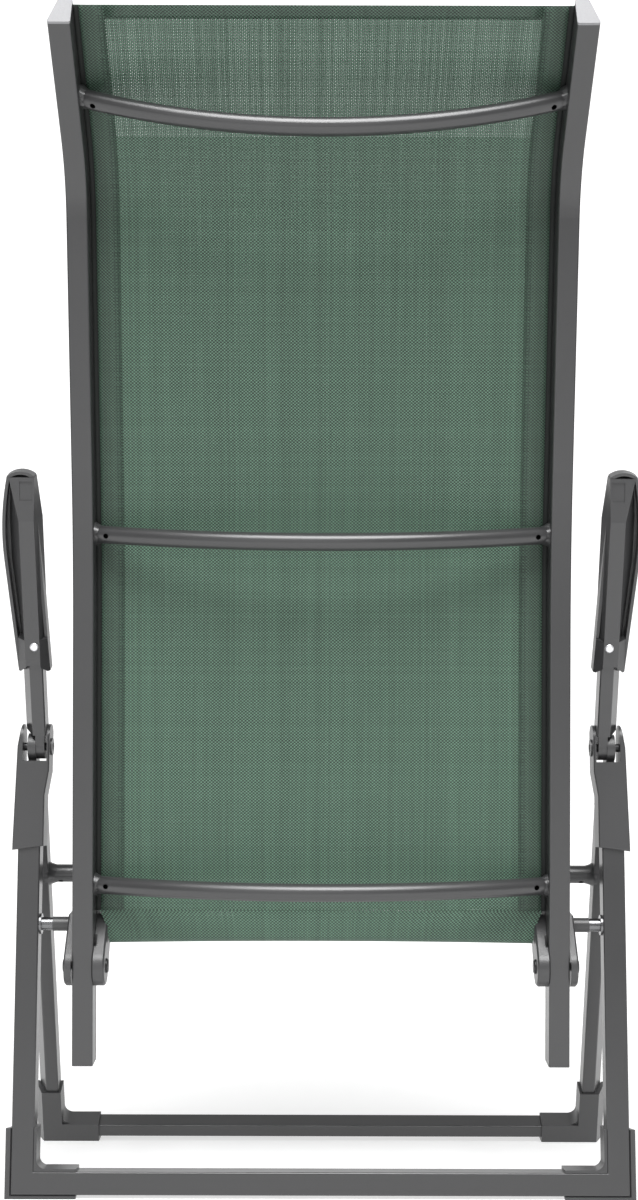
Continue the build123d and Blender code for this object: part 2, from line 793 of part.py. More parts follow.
def cloth_hems(depth):
    """Section of the two side hems."""
    hem_middle = rail_inner_x - cloth_side_gap - hem_wide / 2
    with Locations((-hem_middle, depth), (hem_middle, depth)):
        Rectangle(hem_wide, hem_thick)


back_cloth_y = channel_place(*back_edges)
seat_cloth_y = channel_place(*seat_edges)
with BuildPart() as back_sling:
    with BuildSketch(Plane.XY.offset(cloth_bottom)):
        cloth_section(back_cloth_y)
    cloth_depth = channel_place(0, rail_depth)
    cloth_line = back_line(cloth_bottom, cloth_end_gap - cloth_depth * top_cut_slope)
    sweep(path=cloth_line)
    with BuildSketch(Plane(origin=cloth_line @ 1, x_dir=(1, 0, 0), z_dir=cloth_line % 1)):
        cloth_band(cloth_depth, rail_inner_x - cloth_side_gap, hem_thick)
    extrude(amount=-top_hem)
save("back_sling", back_sling.part)

# Free loop of cloth under the frames, between back and seat
loop_radius = (seat_cloth_y - back_cloth_y + cloth_thick) / 2
loop_middle_y = (seat_cloth_y + back_cloth_y) / 2
loop_high = cloth_bottom - cloth_split - loop_bottom - loop_radius
with BuildPart() as sling_loop:
    with BuildSketch(Plane(origin=(0, loop_middle_y, loop_bottom + loop_radius), x_dir=(0, 1, 0),
                           z_dir=(1, 0, 0))):
        for radius, mode in ((loop_radius, Mode.ADD), (loop_radius - cloth_thick, Mode.SUBTRACT)):
            Circle(radius, mode=mode)
            Rectangle(2 * radius, loop_high, align=(Align.CENTER, Align.MIN), mode=mode)
    extrude(amount=loop_half_width, both=True)
save("sling_loop", sling_loop.part)

# Seat frame, up to the knee hinge
seat_rail_top = knee_height - knee_shoulder - knee_collar
leg_rest_bottom = knee_height + knee_shoulder + knee_collar
with BuildPart() as seat_rail:
    with BuildSketch(Plane.XY.offset(seat_rail_bottom)) as section:
        rail_section(section, *seat_edges)
    extrude(amount=seat_rail_top - seat_rail_bottom)
save_pair("seat_rail", seat_rail.part)

with BuildPart() as leg_rest_rail:
    with BuildSketch(Plane.XY.offset(leg_rest_bottom)) as section:
        rail_section(section, *seat_edges)
    extrude(amount=leg_rest_top - leg_rest_bottom)
save_pair("leg_rest_rail", leg_rest_rail.part)
save_twins("leg_rest_caps", end_cap(Plane.XY.offset(leg_rest_top), seat_edges))

seat_bar_plane = Plane(
    origin=(0, back_face_y + knee_depth, knee_height - seat_bar_below_knee),
    x_dir=(1, 0, 0),
    z_dir=(0, 0, -1),
)
save("seat_front_bar", bowed_bar(seat_bar_plane, seat_bar_bow, rail_inner_x))

with BuildPart() as leg_rest_end_bar:
    with BuildSketch(at_depth(0, knee_depth, leg_rest_top - end_bar_below_tip)):
        Circle(crossbar_radius)
        Circle(crossbar_radius - crossbar_wall, mode=Mode.SUBTRACT)
    extrude(amount=rail_inner_x, both=True)
save("leg_rest_end_bar", leg_rest_end_bar.part)


def flat_cloth(bottom, top, bead_bottom, bead_top):
    """Stretched cloth of the seat frame, with beads only where its rails run."""
    with BuildPart() as cloth:
        with BuildSketch(Plane.XY.offset(bottom)):
            cloth_band(seat_cloth_y, rail_inner_x - cloth_side_gap, cloth_thick)
            cloth_hems(seat_cloth_y)
        extrude(amount=top - bottom)
        with BuildSketch(Plane.XY.offset(bead_bottom)):
            cloth_section(seat_cloth_y)
        extrude(amount=bead_top - bead_bottom)
    return cloth.part


save("seat_sling", flat_cloth(cloth_bottom, knee_height - cloth_split / 2, cloth_bottom, seat_rail_top))
save("leg_rest_sling", flat_cloth(knee_height + cloth_split / 2, leg_rest_top - cloth_end_gap,
                                  leg_rest_bottom, leg_rest_top - cloth_end_gap))

# Hinge fitting at the rear end of each seat rail: two cheeks that clasp the stile
inner_cheek_x = rail_inner_x - cheek_side_gap - inner_cheek
cheek_gap_x = rail_inner_x - cheek_side_gap
cheek_gap = rail_wide + 2 * cheek_side_gap
outer_cheek_x = cheek_gap_x + cheek_gap + outer_cheek
with BuildPart() as seat_hinge:
    with BuildSketch(side_view(inner_cheek_x)):
        with Locations((back_pivot_depth, back_pivot_height)):
            Circle(cheek_back_radius)
        with Locations((seat_pivot_depth, seat_pivot_height)):
            Circle(cheek_pivot_radius)
        with Locations((seat_back, seat_pivot_height + cheek_pivot_radius)):
            Rectangle(rail_depth, cheek_pivot_radius - bridge_rise, align=(Align.MAX, Align.MAX))
        make_hull()
    extrude(amount=outer_cheek_x - inner_cheek_x)
    for side in (0, -1):
        chamfer(seat_hinge.faces().sort_by(Axis.X)[side].edges(), length=cheek_bevel)
    with BuildSketch(side_view(cheek_gap_x)):
        with Locations((seat_face, back_pivot_height)):
            Rectangle(2 * (rail_depth + overrun), 2 * overrun)
    extrude(amount=cheek_gap, mode=Mode.SUBTRACT)
    with BuildSketch(side_view(cheek_gap_x)):
        with Locations((seat_back, seat_rail_bottom)):
            Rectangle(rail_depth, seat_rail_rise - bridge_rise, align=(Align.MAX, Align.MAX))
    extrude(amount=cheek_gap)
    with BuildSketch(Plane.XY.offset(seat_rail_bottom)):
        rail_plug(*seat_edges)
    extrude(amount=seat_hinge_plug)
    with BuildSketch(side_view(cheek_gap_x)):
        with Locations((0, seat_pivot_height - relief_high)):
            Rectangle(seat_face, relief_high, align=(Align.CENTER, Align.MIN))
    extrude(amount=-relief_deep, mode=Mode.SUBTRACT)
    seat_pivot = at_depth(cheek_gap_x, seat_pivot_depth, seat_pivot_height)
    round_pin(seat_pivot, bush_radius, cheek_gap, Mode.SUBTRACT)
    round_pin(seat_pivot.offset(-overrun), pivot_radius + running_clearance, 2 * overrun, Mode.SUBTRACT)
    round_pin(at_depth(inner_cheek_x, back_pivot_depth, back_pivot_height), pivot_radius,
              overrun, Mode.SUBTRACT)
save_pair("seat_hinge", seat_hinge.part)

# Bush between the cheeks, which also stops the stile when the back lies right down
with BuildPart() as seat_pivot_bush:
    round_pin(seat_pivot, bush_radius, cheek_gap)
    round_pin(seat_pivot, pivot_radius + running_clearance, cheek_gap, Mode.SUBTRACT)
save_twins("seat_pivot_bushes", seat_pivot_bush.part)

# Bolt of the seat pivot, with its spacer and steel collar between cheek and leg
with BuildPart() as seat_pivot_bolt:
    bolt_start = at_depth(bolt_end_x, seat_pivot_depth, seat_pivot_height)
    round_pin(bolt_start, pivot_radius, bolt_seat_x - bolt_end_x)
    round_pin(bolt_start.offset(bolt_seat_x - bolt_end_x), bolt_head_radius, bolt_head_high)
save_twins("seat_pivot_bolts", seat_pivot_bolt.part)

spacer_start_x = outer_cheek_x + sleeve_gap
with BuildPart() as seat_pivot_spacer:
    spacer_plane = at_depth(spacer_start_x, seat_pivot_depth, seat_pivot_height)
    round_pin(spacer_plane, spacer_radius, spacer_end_x - spacer_start_x)
    round_pin(spacer_plane, pivot_radius, overrun, Mode.SUBTRACT)
save_twins("seat_pivot_spacers", seat_pivot_spacer.part)

with BuildPart() as seat_pivot_collar:
    collar_plane = at_depth(spacer_end_x, seat_pivot_depth, seat_pivot_height)
    collar_length = leg_inner_x - spacer_end_x
    round_pin(collar_plane, steel_bush_radius, collar_length)
    round_pin(collar_plane.offset(collar_length - washer_thick), washer_radius, washer_thick)
    round_pin(collar_plane, pivot_radius, overrun, Mode.SUBTRACT)
save_twins("seat_pivot_collars", seat_pivot_collar.part)

# Rivet on which the back turns between the cheeks
with BuildPart() as back_pivot_rivet:
    rivet_plane = at_depth(inner_cheek_x, back_pivot_depth, back_pivot_height)
    rivet_length = outer_cheek_x - inner_cheek_x
    round_pin(rivet_plane, pivot_radius, rivet_length)
    round_pin(rivet_plane, rivet_head_radius, -rivet_head_high)
    round_pin(rivet_plane.offset(rivet_length), rivet_head_radius, rivet_head_high)
    for end in (0, -1):
        chamfer(back_pivot_rivet.faces().sort_by(Axis.X)[end].edges(), length=rivet_head_high / 2)
save_twins("back_pivot_rivets", back_pivot_rivet.part)

# Knee hinge: a tongue on the seat rail between two cheeks on the leg rest rail
knee_pivot = at_depth(knee_tongue_inner_x, knee_depth, knee_height)
with BuildPart() as seat_knee:
    with BuildSketch(Plane.XY.offset(seat_rail_top)):
        rail_plug(*seat_edges)
    extrude(amount=-knee_plug)
    with BuildSketch(Plane.XY.offset(seat_rail_top)):
        rail_outline(*seat_edges)
    extrude(amount=knee_collar)
    with BuildSketch(knee_pivot):
        Circle(knee_round)
        Rectangle(2 * knee_round, knee_shoulder, align=(Align.CENTER, Align.MAX))
    extrude(amount=knee_tongue)
    round_pin(knee_pivot, knee_pin_radius + running_clearance, knee_tongue, Mode.SUBTRACT)
save_pair("seat_knee", seat_knee.part)

with BuildPart() as leg_rest_knee:
    with BuildSketch(Plane.XY.offset(knee_height - knee_round)):
        rail_outline(*seat_edges)
    extrude(amount=knee_round + knee_shoulder + knee_collar)
    with BuildSketch(at_depth(rail_inner_x, knee_depth, knee_height)):
        Circle(knee_round)
        Rectangle(rail_depth, knee_shoulder + knee_collar, align=(Align.CENTER, Align.MIN),
                  mode=Mode.ADD)
    extrude(amount=rail_wide, mode=Mode.INTERSECT)
    with BuildSketch(at_depth(knee_tongue_inner_x - knee_gap, knee_depth, knee_height)):
        with Locations((0, knee_shoulder)):
            Rectangle(2 * rail_depth, 2 * rail_depth, align=(Align.CENTER, Align.MAX))
    extrude(amount=knee_tongue + 2 * knee_gap, mode=Mode.SUBTRACT)
    with BuildSketch(Plane.XY.offset(leg_rest_bottom)):
        rail_plug(*seat_edges)
    extrude(amount=knee_plug)
    round_pin(at_depth(rail_inner_x, knee_depth, knee_height), knee_pin_radius, rail_wide,
              Mode.SUBTRACT)
save_pair("leg_rest_knee", leg_rest_knee.part)

knee_pin_length = (rail_wide + rail_narrow) / 2
with BuildPart() as knee_pin:
    pin_plane = at_depth(rail_inner_x, knee_depth, knee_height)
    round_pin(pin_plane, knee_pin_radius, knee_pin_length)
    round_pin(pin_plane, knee_pin_head, -knee_pin_rise)
save_twins("knee_pins", knee_pin.part)
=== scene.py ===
import json
import math

import bmesh
import bpy
from bpy.props import FloatProperty, FloatVectorProperty, IntProperty, PointerProperty
from mathutils import Matrix, Vector, noise


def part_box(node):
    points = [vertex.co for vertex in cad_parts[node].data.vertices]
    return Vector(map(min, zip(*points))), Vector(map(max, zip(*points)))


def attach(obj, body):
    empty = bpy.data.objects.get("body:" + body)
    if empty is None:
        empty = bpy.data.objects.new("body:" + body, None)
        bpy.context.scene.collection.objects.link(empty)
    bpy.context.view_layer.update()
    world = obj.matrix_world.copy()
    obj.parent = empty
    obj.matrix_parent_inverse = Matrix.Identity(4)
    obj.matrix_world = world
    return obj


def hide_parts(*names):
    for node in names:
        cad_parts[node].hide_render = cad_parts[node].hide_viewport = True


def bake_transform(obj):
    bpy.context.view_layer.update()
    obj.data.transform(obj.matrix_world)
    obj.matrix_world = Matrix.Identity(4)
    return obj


bl_info = {
    "name": "Folding deck chair",
    "version": (1, 0, 0),
    "blender": (4, 5, 0),
    "location": "3D View > Sidebar > Deck chair",
    "description": "Dresses the packed frame of a folded deck chair with its cloth, fittings and finishes",
    "category": "Object",
}

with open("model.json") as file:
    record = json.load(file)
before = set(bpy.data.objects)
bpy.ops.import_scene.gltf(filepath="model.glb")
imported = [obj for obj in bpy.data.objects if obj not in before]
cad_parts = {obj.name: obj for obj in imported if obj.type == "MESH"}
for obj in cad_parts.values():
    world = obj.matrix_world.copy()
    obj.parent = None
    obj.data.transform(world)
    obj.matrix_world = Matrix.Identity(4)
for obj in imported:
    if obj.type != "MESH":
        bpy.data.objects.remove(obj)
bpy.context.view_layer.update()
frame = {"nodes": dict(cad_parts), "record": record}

# The two sides of the chair along x, and the UV map that holds a cloth's own width and length in metres
SIDES = {"left": -1, "right": 1}
UV = "weave"

# Cloth: hems inward of the channel's mouth, gaps between layers, and beads outward of the mouth
HEM_INSET = 0.0024
LAYER_GAP = 0.0001
# Gap before the black band of painted shade beside each channel
SHADE_BAND_GAP = 0.0004
BEAD_DEPTH = 0.0018
BEAD_SIDES = 10

# Sag of the free top edge: half width over which it fades out towards the sides, and how it fades down the
# cloth
SAG_HALF_WIDTH = 0.22
SAG_POWER = 6

# Stitches: rows outward of a hem's inner edge, half width, pitch, and half a gap as a share of the pitch
STITCH_ROWS = (0.0022, 0.0054)
STITCH_HALF_WIDTH = 0.0005
STITCH_PITCH = 0.0042
STITCH_HALF_GAP = 0.09

# Loop between back and seat: room beside and below it, rise in the middle of its foot, and widening above
LOOP_SIDE_ROOM = 0.0012
LOOP_FOOT_ROOM = 0.0026
LOOP_RISE = 0.002
LOOP_WIDENING = 0.045

# Grain: height that a bump stands for, and scale of the clouds in the tone
BUMP_HEIGHT = 0.0003
CLOUD_SCALE = 7.0

# Welds: start along the tube, each ring's share of the weld's size with its step, and the roughness
WELD_START = -0.0035
WELD_OUTLINE = ((0.95, 0.0030), (0.70, 0.0012), (0.40, 0.0018), (0.14, 0.0024), (-0.06, 0.0026))
WELD_ROUGHNESS_SCALE = 260
WELD_ROUGHNESS_UP = 0.0006
WELD_ROUGHNESS_SHARE = 0.05

# Screw recesses, drawn as a dark hexagon of painted shade: lift off the crown of the head, and sides of the
# hexagon
RECESS_LIFT = 0.0002
RECESS_SIDES = 6

# Backdrop: steps of the cove, and how near the top an edge lies that is drawn up into the wall
COVE_STEPS = 16
TOP_TOLERANCE = 0.001

# Lights: place, aim, and width and height in metres
LIGHTS = {
    "key": ((-0.5, -3.5, 1.5), (0, 0, 0.9), (2.4, 2.0)),
    "overhead": ((0.1, -2.2, 4.6), (0, 0, 0.6), (3.0, 3.0)),
}


# Properties
class StageSettings(bpy.types.PropertyGroup):
    camera_distance: FloatProperty(
        name="Camera distance", description="From the lens to the rear face of the back frame",
        default=1.7075, unit="LENGTH", precision=4)
    camera_height: FloatProperty(
        name="Camera height", description="Height of the lens above the floor", default=0.578, unit="LENGTH")
    camera_aside: FloatProperty(
        name="Camera aside", description="How far the lens stands to the left of the chair's middle",
        default=0.0028, unit="LENGTH", precision=5)
    camera_roll: FloatProperty(
        name="Camera roll", description="How far the camera is turned about its line of sight",
        default=math.radians(-0.15), subtype="ANGLE")
    lens: FloatProperty(
        name="Focal length", description="In millimetres, for a picture 36 mm high", default=53.25)
    floor_size: FloatProperty(
        name="Floor size", description="Width of the pale floor", default=9.0, unit="LENGTH")
    cove: FloatProperty(
        name="Cove radius", description="Radius of the bend from the floor up to the backdrop", default=1.2,
        unit="LENGTH")
    wall: FloatProperty(
        name="Wall height", description="Height of the upright backdrop above the cove", default=3.0,
        unit="LENGTH")
    paint: FloatVectorProperty(
        name="Backdrop paint", description="Colour of floor and backdrop", subtype="COLOR", size=3,
        default=(0.52, 0.52, 0.52), min=0, max=1)
    sky: FloatProperty(
        name="Sky strength", description="Brightness of the white surroundings", default=0.32)
    key: FloatProperty(
        name="Key light", description="Power of the large panel behind the camera, in watts", default=12.0)
    overhead: FloatProperty(
        name="Overhead light", description="Power of the panel above the chair, in watts", default=330.0)
    glow: FloatProperty(
        name="Backdrop glow", description="Own light of the backdrop behind the chair", default=0.72)


class ClothSettings(bpy.types.PropertyGroup):
    colour: FloatVectorProperty(
        name="Yarn colour", description="Colour of the coated yarn", subtype="COLOR", size=3,
        default=(0.053, 0.103, 0.071), min=0, max=1)
    thread_colour: FloatVectorProperty(
        name="Thread colour", description="Colour of the sewing thread", subtype="COLOR", size=3,
        default=(0.020, 0.042, 0.029), min=0, max=1)
    # Besides the beads, this black paints the shade band beside each channel and the shade in the screw
    # recesses
    bead_and_shade_colour: FloatVectorProperty(
        name="Bead colour", description="Colour of the edge beads, the welts and the screw recesses",
        subtype="COLOR", size=3, default=(0.010, 0.012, 0.011), min=0, max=1)
    pitch: FloatProperty(
        name="Warp pitch", description="Distance from one upright yarn to the next", default=0.0017,
        unit="LENGTH", precision=5)
    weft: FloatProperty(
        name="Weft pitch", description="Distance from one level yarn to the next", default=0.0015,
        unit="LENGTH", precision=5)
    opening: FloatProperty(
        name="Opening", description="Share of the cloth that is open", default=0.030, subtype="FACTOR")
    wander: FloatProperty(
        name="Wander", description="How far the yarns stray from straight lines", default=0.0050,
        unit="LENGTH", precision=5)
    thick: FloatProperty(
        name="Cloth thickness", description="Thickness of one hem layer", default=0.0006, unit="LENGTH",
        precision=5)
    half_width: FloatProperty(
        name="Half width", description="From the middle to the mouth of the rail channel", default=0.2218,
        unit="LENGTH")
    hem: FloatProperty(
        name="Side hem", description="Width of the doubled side hem", default=0.027, unit="LENGTH")
    top_hem: FloatProperty(
        name="Top hem", description="Height of the doubled top hem", default=0.013, unit="LENGTH")
    # The band is painted shade: black that stands for the stile's inner side and the gap beside the cloth,
    # which lie in shade
    shade_band: FloatProperty(
        name="Welt", description="Width of the black welt beside the channel", default=0.0072,
        unit="LENGTH", precision=5)
    bead: FloatProperty(
        name="Edge bead", description="Radius of the bead in the channel", default=0.0022, unit="LENGTH",
        precision=5)
    slack: FloatProperty(
        name="Slack", description="How far the free top edge sags in the middle", default=0.002,
        unit="LENGTH", precision=5)


class BackSettings(bpy.types.PropertyGroup):
    rear_y: FloatProperty(
        name="Rear face", description="Where the rear face of the upright stile lies", default=-0.01946,
        unit="LENGTH", precision=5)
    cloth_depth: FloatProperty(
        name="Cloth depth", description="From the rear face forward to the cloth", default=0.0258,
        unit="LENGTH", precision=5)
    cloth_bottom: FloatProperty(
        name="Cloth bottom", description="Height at which the cloth leaves the channels", default=0.275,
        unit="LENGTH")
    lumbar_start: FloatProperty(
        name="Lumbar start", description="Height at which the stile begins to lean", default=0.540,
        unit="LENGTH")
    lumbar_radius: FloatProperty(
        name="Lumbar radius", description="Radius of the long bend", default=0.970, unit="LENGTH")
    lumbar_lean: FloatProperty(
        name="Lumbar lean", description="Turn of the long bend", default=math.radians(9.5), subtype="ANGLE")
    panel: FloatProperty(
        name="Panel", description="Length of the straight run above the long bend", default=0.238,
        unit="LENGTH")
    head_radius: FloatProperty(
        name="Head radius", description="Radius of the upper bend", default=0.110, unit="LENGTH")
    head_lean: FloatProperty(
        name="Head lean", description="Turn of the upper bend", default=math.radians(37.5), subtype="ANGLE")
    head: FloatProperty(
        name="Head", description="Length of the straight end run, up to the end of the cloth",
        default=0.1202, unit="LENGTH", precision=5)


class MetalSettings(bpy.types.PropertyGroup):
    coat: FloatVectorProperty(
        name="Powder coat", description="Colour of the coated tubes", subtype="COLOR", size=3,
        default=(0.043, 0.043, 0.0445), min=0, max=1)
    plastic: FloatVectorProperty(
        name="Mouldings", description="Colour of the moulded fittings", subtype="COLOR", size=3,
        default=(0.044, 0.044, 0.0455), min=0, max=1)
    steel: FloatVectorProperty(
        name="Steel", description="Colour of the bright fasteners", subtype="COLOR", size=3,
        default=(0.19, 0.19, 0.195), min=0, max=1)
    lever_lean: FloatProperty(
        name="Lever lean", description="Lean of the lever that carries the armrests",
        default=math.radians(17.5), subtype="ANGLE")
    # The recess is drawn as a flat dark hexagon of this radius, a painted shade of the hole in the head
    recess: FloatProperty(
        name="Screw recess", description="Radius of the recess in a screw head", default=0.0014,
        unit="LENGTH", precision=5)


class WeldSettings(bpy.types.PropertyGroup):
    size: FloatProperty(
        name="Weld size", description="How far a weld stands out round its tube", default=0.0034,
        unit="LENGTH", precision=5)
    facets: IntProperty(name="Facets", description="Sides of a weld", default=32, min=8)
    bar_radius: FloatProperty(
        name="Bar radius", description="Radius of the bars between the stiles and between the rails",
        default=0.0085, unit="LENGTH", precision=5)
    cross_tube_radius: FloatProperty(
        name="Cross tube radius", description="Radius of the tube between the front legs", default=0.009,
        unit="LENGTH", precision=5)
    bow: FloatProperty(
        name="Crossbar bow", description="How far the crossbars of the back are bowed", default=0.047,
        unit="LENGTH")
    bar_depth: FloatProperty(
        name="Crossbar depth", description="From the rear face of a stile to the middle of a bar's end",
        default=0.015, unit="LENGTH")
    middle_bar: FloatProperty(
        name="Middle bar", description="Height of the middle crossbar above the floor", default=0.640,
        unit="LENGTH")
    middle_lean: FloatProperty(
        name="Middle bar lean", description="Lean of the middle crossbar", default=math.radians(10.8),
        subtype="ANGLE")
    top_bar: FloatProperty(
        name="Top bar", description="How far the top crossbar sits up the head", default=0.035,
        unit="LENGTH")
    seat_bar_slant: FloatProperty(
        name="Seat bar slant", description="Slant of the seat bar at its ends", default=-0.306,
        subtype="ANGLE")


def settings(name):
    """The property group of that name on the scene."""
    return getattr(bpy.context.scene, "deck_chair_" + name)


# Nodes and materials
def add_node(tree, kind, links=None, **values):
    """A node with its settings, and its inputs filled with values or linked to other sockets."""
    made = tree.nodes.new("ShaderNode" + kind)
    for key, value in values.items():
        setattr(made, key, value)
    fill_inputs(tree, made, links or {})
    return made


def fill_inputs(tree, node, links):
    """Give each named input of a node its value, or link it to another socket."""
    for key, value in links.items():
        socket = node.inputs[key]
        if isinstance(value, bpy.types.NodeSocket):
            tree.links.new(value, socket)
        else:
            socket.default_value = value


def maths(tree, operation, *values):
    """The result socket of one Math node."""
    made = add_node(tree, "Math", dict(enumerate(values)), operation=operation)
    return made.outputs[0]


def new_group(name, inputs, outputs):
    """An empty shader group with named sockets, and its two end nodes."""
    group = bpy.data.node_groups.new(name, "ShaderNodeTree")
    for direction, sockets in (("INPUT", inputs), ("OUTPUT", outputs)):
        for label, kind, value in sockets:
            socket = group.interface.new_socket(label, in_out=direction, socket_type="NodeSocket" + kind)
            if value is not None:
                socket.default_value = value
    start = group.nodes.new("NodeGroupInput")
    end = group.nodes.new("NodeGroupOutput")
    return group, start.outputs, end.inputs


def use_group(tree, group, **values):
    """One use of a shared group in a material."""
    made = tree.nodes.new("ShaderNodeGroup")
    made.node_tree = group
    fill_inputs(tree, made, {key.capitalize(): value for key, value in values.items()})
    return made


def open_weave():
    """Group: mesh of coated yarn with staggered holes. Gives cover, which is 0 in a hole, height and tone.
    The tone holds painted light on the raised yarns and painted shade at the low points.
    """
    found = bpy.data.node_groups.get("open_weave")
    if found:
        return found
    # How much the holes vary from yarn to yarn and along a yarn, and how soft their edges are
    warp_holes, weft_holes, slub_holes, soft_edge = 0.9, 0.5, 1.6, 0.05
    # How much the tone varies likewise, how far the painted light and shade of the relief lighten the raised
    # yarns and darken the low points, and the darkest tone
    warp_tone, weft_tone, slub_tone, relief_shading, least_tone = 0.24, 0.14, 0.35, 1.60, 0.08
    # Waves of the twill, in radians a metre
    twill_waves = 2200.0
    group, given, result = new_group(
        "open_weave",
        [("Vector", "Vector", None), ("Warp", "Float", 0.0017), ("Weft", "Float", 0.0015),
         ("Opening", "Float", 0.03), ("Veil", "Float", 0.0), ("Wander", "Float", 0.005),
         ("Twill", "Float", 0.0), ("Seed", "Float", 0.0)],
        [("Cover", "Float", None), ("Height", "Float", None), ("Tone", "Float", None)])

    def cloudy(scale):
        stretched = add_node(group, "VectorMath", {0: given["Vector"], 1: scale}, operation="MULTIPLY")
        return add_node(group, "TexNoise", {"Vector": stretched.outputs[0], "W": given["Seed"], "Scale": 1.0,
                                            "Detail": 2.0}, noise_dimensions="4D")

    # Yarns that stray a little from straight lines, counted across and up
    drift = cloudy(scale=(3.5, 6.0, 1.0))
    centred = add_node(group, "VectorMath", {0: drift.outputs["Color"], 1: (0.5, 0.5, 0.5)},
                       operation="SUBTRACT")
    strayed = add_node(group, "VectorMath", {0: centred.outputs[0], "Scale": given["Wander"]},
                       operation="SCALE")
    moved = add_node(group, "VectorMath", {0: given["Vector"], 1: strayed.outputs[0]}, operation="ADD")
    axes = add_node(group, "SeparateXYZ", {0: moved.outputs[0]})
    slub = maths(group, "SUBTRACT", cloudy(scale=(260.0, 9.0, 1.0)).outputs[0], 0.5)
    waves, yarns = [], []
    for axis, pitch in enumerate(("Warp", "Weft")):
        count = maths(group, "DIVIDE", axes.outputs[axis], given[pitch])
        waves.append(maths(group, "SINE", maths(group, "MULTIPLY", count, math.pi)))
        yarn = add_node(group, "TexWhiteNoise", {"W": maths(group, "FLOOR", count)},
                        noise_dimensions="1D").outputs["Value"]
        yarns.append(maths(group, "SUBTRACT", yarn, 0.5))
    over = maths(group, "MULTIPLY", *waves)

    # Staggered holes at the low points of the weave
    uneven = maths(group, "MULTIPLY_ADD", yarns[0], warp_holes,
                   maths(group, "MULTIPLY_ADD", yarns[1], weft_holes,
                         maths(group, "MULTIPLY", slub, slub_holes)))
    share = maths(group, "MULTIPLY", given["Opening"], maths(group, "ADD", uneven, 1.0))
    brink = maths(group, "MULTIPLY_ADD", share, math.pi, -1.0)
    hole = add_node(group, "MapRange", {
        "Value": over, "From Min": maths(group, "SUBTRACT", brink, soft_edge),
        "From Max": maths(group, "ADD", brink, soft_edge), "To Min": 1.0, "To Max": 0.0},
        interpolation_type="SMOOTHSTEP")
    clear = maths(group, "MULTIPLY", hole.outputs[0], maths(group, "SUBTRACT", 1.0, given["Veil"]))

    # Tone from painted light on the yarn on top and painted shade at the low points, the slubs, the single
    # yarns and the twill
    both = maths(group, "ADD", axes.outputs[0], axes.outputs[1])
    twill = maths(group, "MULTIPLY", given["Twill"],
                  maths(group, "SINE", maths(group, "MULTIPLY", both, twill_waves)))
    streaks = maths(group, "MULTIPLY_ADD", yarns[0], warp_tone,
                    maths(group, "MULTIPLY", yarns[1], weft_tone))
    # Painted light and shade of the relief: lighter where a yarn lies on top, darker at the low points
    relief = maths(group, "MULTIPLY_ADD", over, maths(group, "SUBTRACT", relief_shading, given["Twill"]), 1.0)
    tone = maths(group, "ADD", relief, maths(group, "MULTIPLY_ADD", slub, slub_tone, streaks))

    group.links.new(maths(group, "SUBTRACT", 1.0, clear), result["Cover"])
    group.links.new(over, result["Height"])
    group.links.new(maths(group, "MAXIMUM", maths(group, "ADD", tone, twill), least_tone), result["Tone"])
    return group


def fine_grain():
    """Group: fine orange peel or moulded grain, with a faint cloudy tone and gloss."""
    found = bpy.data.node_groups.get("fine_grain")
    if found:
        return found
    speck_tone, cloud_gloss = 0.12, 0.2
    group, given, result = new_group(
        "fine_grain",
        [("Vector", "Vector", None), ("Scale", "Float", 900.0), ("Clouding", "Float", 0.06)],
        [("Height", "Float", None), ("Tone", "Float", None), ("Gloss", "Float", None)])
    grain = add_node(group, "TexNoise", {"Vector": given["Vector"], "Scale": given["Scale"], "Detail": 2.0})
    cloud = add_node(group, "TexNoise", {"Vector": given["Vector"], "Scale": CLOUD_SCALE, "Detail": 4.0})
    spread = maths(group, "SUBTRACT", cloud.outputs[0], 0.5)
    tone = maths(group, "MULTIPLY_ADD", spread, given["Clouding"], 1.0)
    speck = maths(group, "MULTIPLY_ADD", maths(group, "SUBTRACT", grain.outputs[0], 0.5), speck_tone, tone)
    group.links.new(grain.outputs[0], result["Height"])
    group.links.new(speck, result["Tone"])
    group.links.new(maths(group, "MULTIPLY", spread, cloud_gloss), result["Gloss"])
    return group


def new_material(name):
    """A material with a bare Principled BSDF."""
    material = bpy.data.materials.new(name)
    material.use_nodes = True
    tree = material.node_tree
    return material, tree, tree.nodes["Principled BSDF"]


def shade(colour, factor):
    """A lighter or darker tint of a colour."""
    return [factor * value for value in colour]


def toned(tree, colour, tone):
    """A colour times a tone that varies over the surface."""
    made = add_node(tree, "VectorMath", {0: tuple(colour), "Scale": tone}, operation="SCALE")
    return made.outputs[0]


def bumped(tree, shader, height, strength):
    """Give a shader the bumps of a height that varies over the surface."""
    bump = add_node(tree, "Bump", {"Height": height, "Strength": strength, "Distance": BUMP_HEIGHT})
    tree.links.new(bump.outputs[0], shader.inputs["Normal"])


def coated(name, colour, rough, metallic, scale, depth, clouding, gloss=0.5):
    """Finish with a fine grain: powder coat, moulded plastic or bare steel."""
    found = bpy.data.materials.get(name)
    if found:
        return found
    material, tree, shader = new_material(name)
    place = add_node(tree, "TexCoord").outputs["Object"]
    grain = use_group(tree, fine_grain(), vector=place, scale=scale, clouding=clouding)
    tree.links.new(toned(tree, colour, grain.outputs["Tone"]), shader.inputs["Base Color"])
    tree.links.new(maths(tree, "ADD", grain.outputs["Gloss"], rough), shader.inputs["Roughness"])
    shader.inputs["Metallic"].default_value = metallic
    shader.inputs["Specular IOR Level"].default_value = gloss
    bumped(tree, shader, grain.outputs["Height"], depth)
    return material


def powder_coat():
    """Satin powder coat of the tubes."""
    return coated("powder_coat", settings("metal").coat, rough=0.32, metallic=0.2, scale=700.0, depth=0.08,
                  clouding=0.10, gloss=0.9)


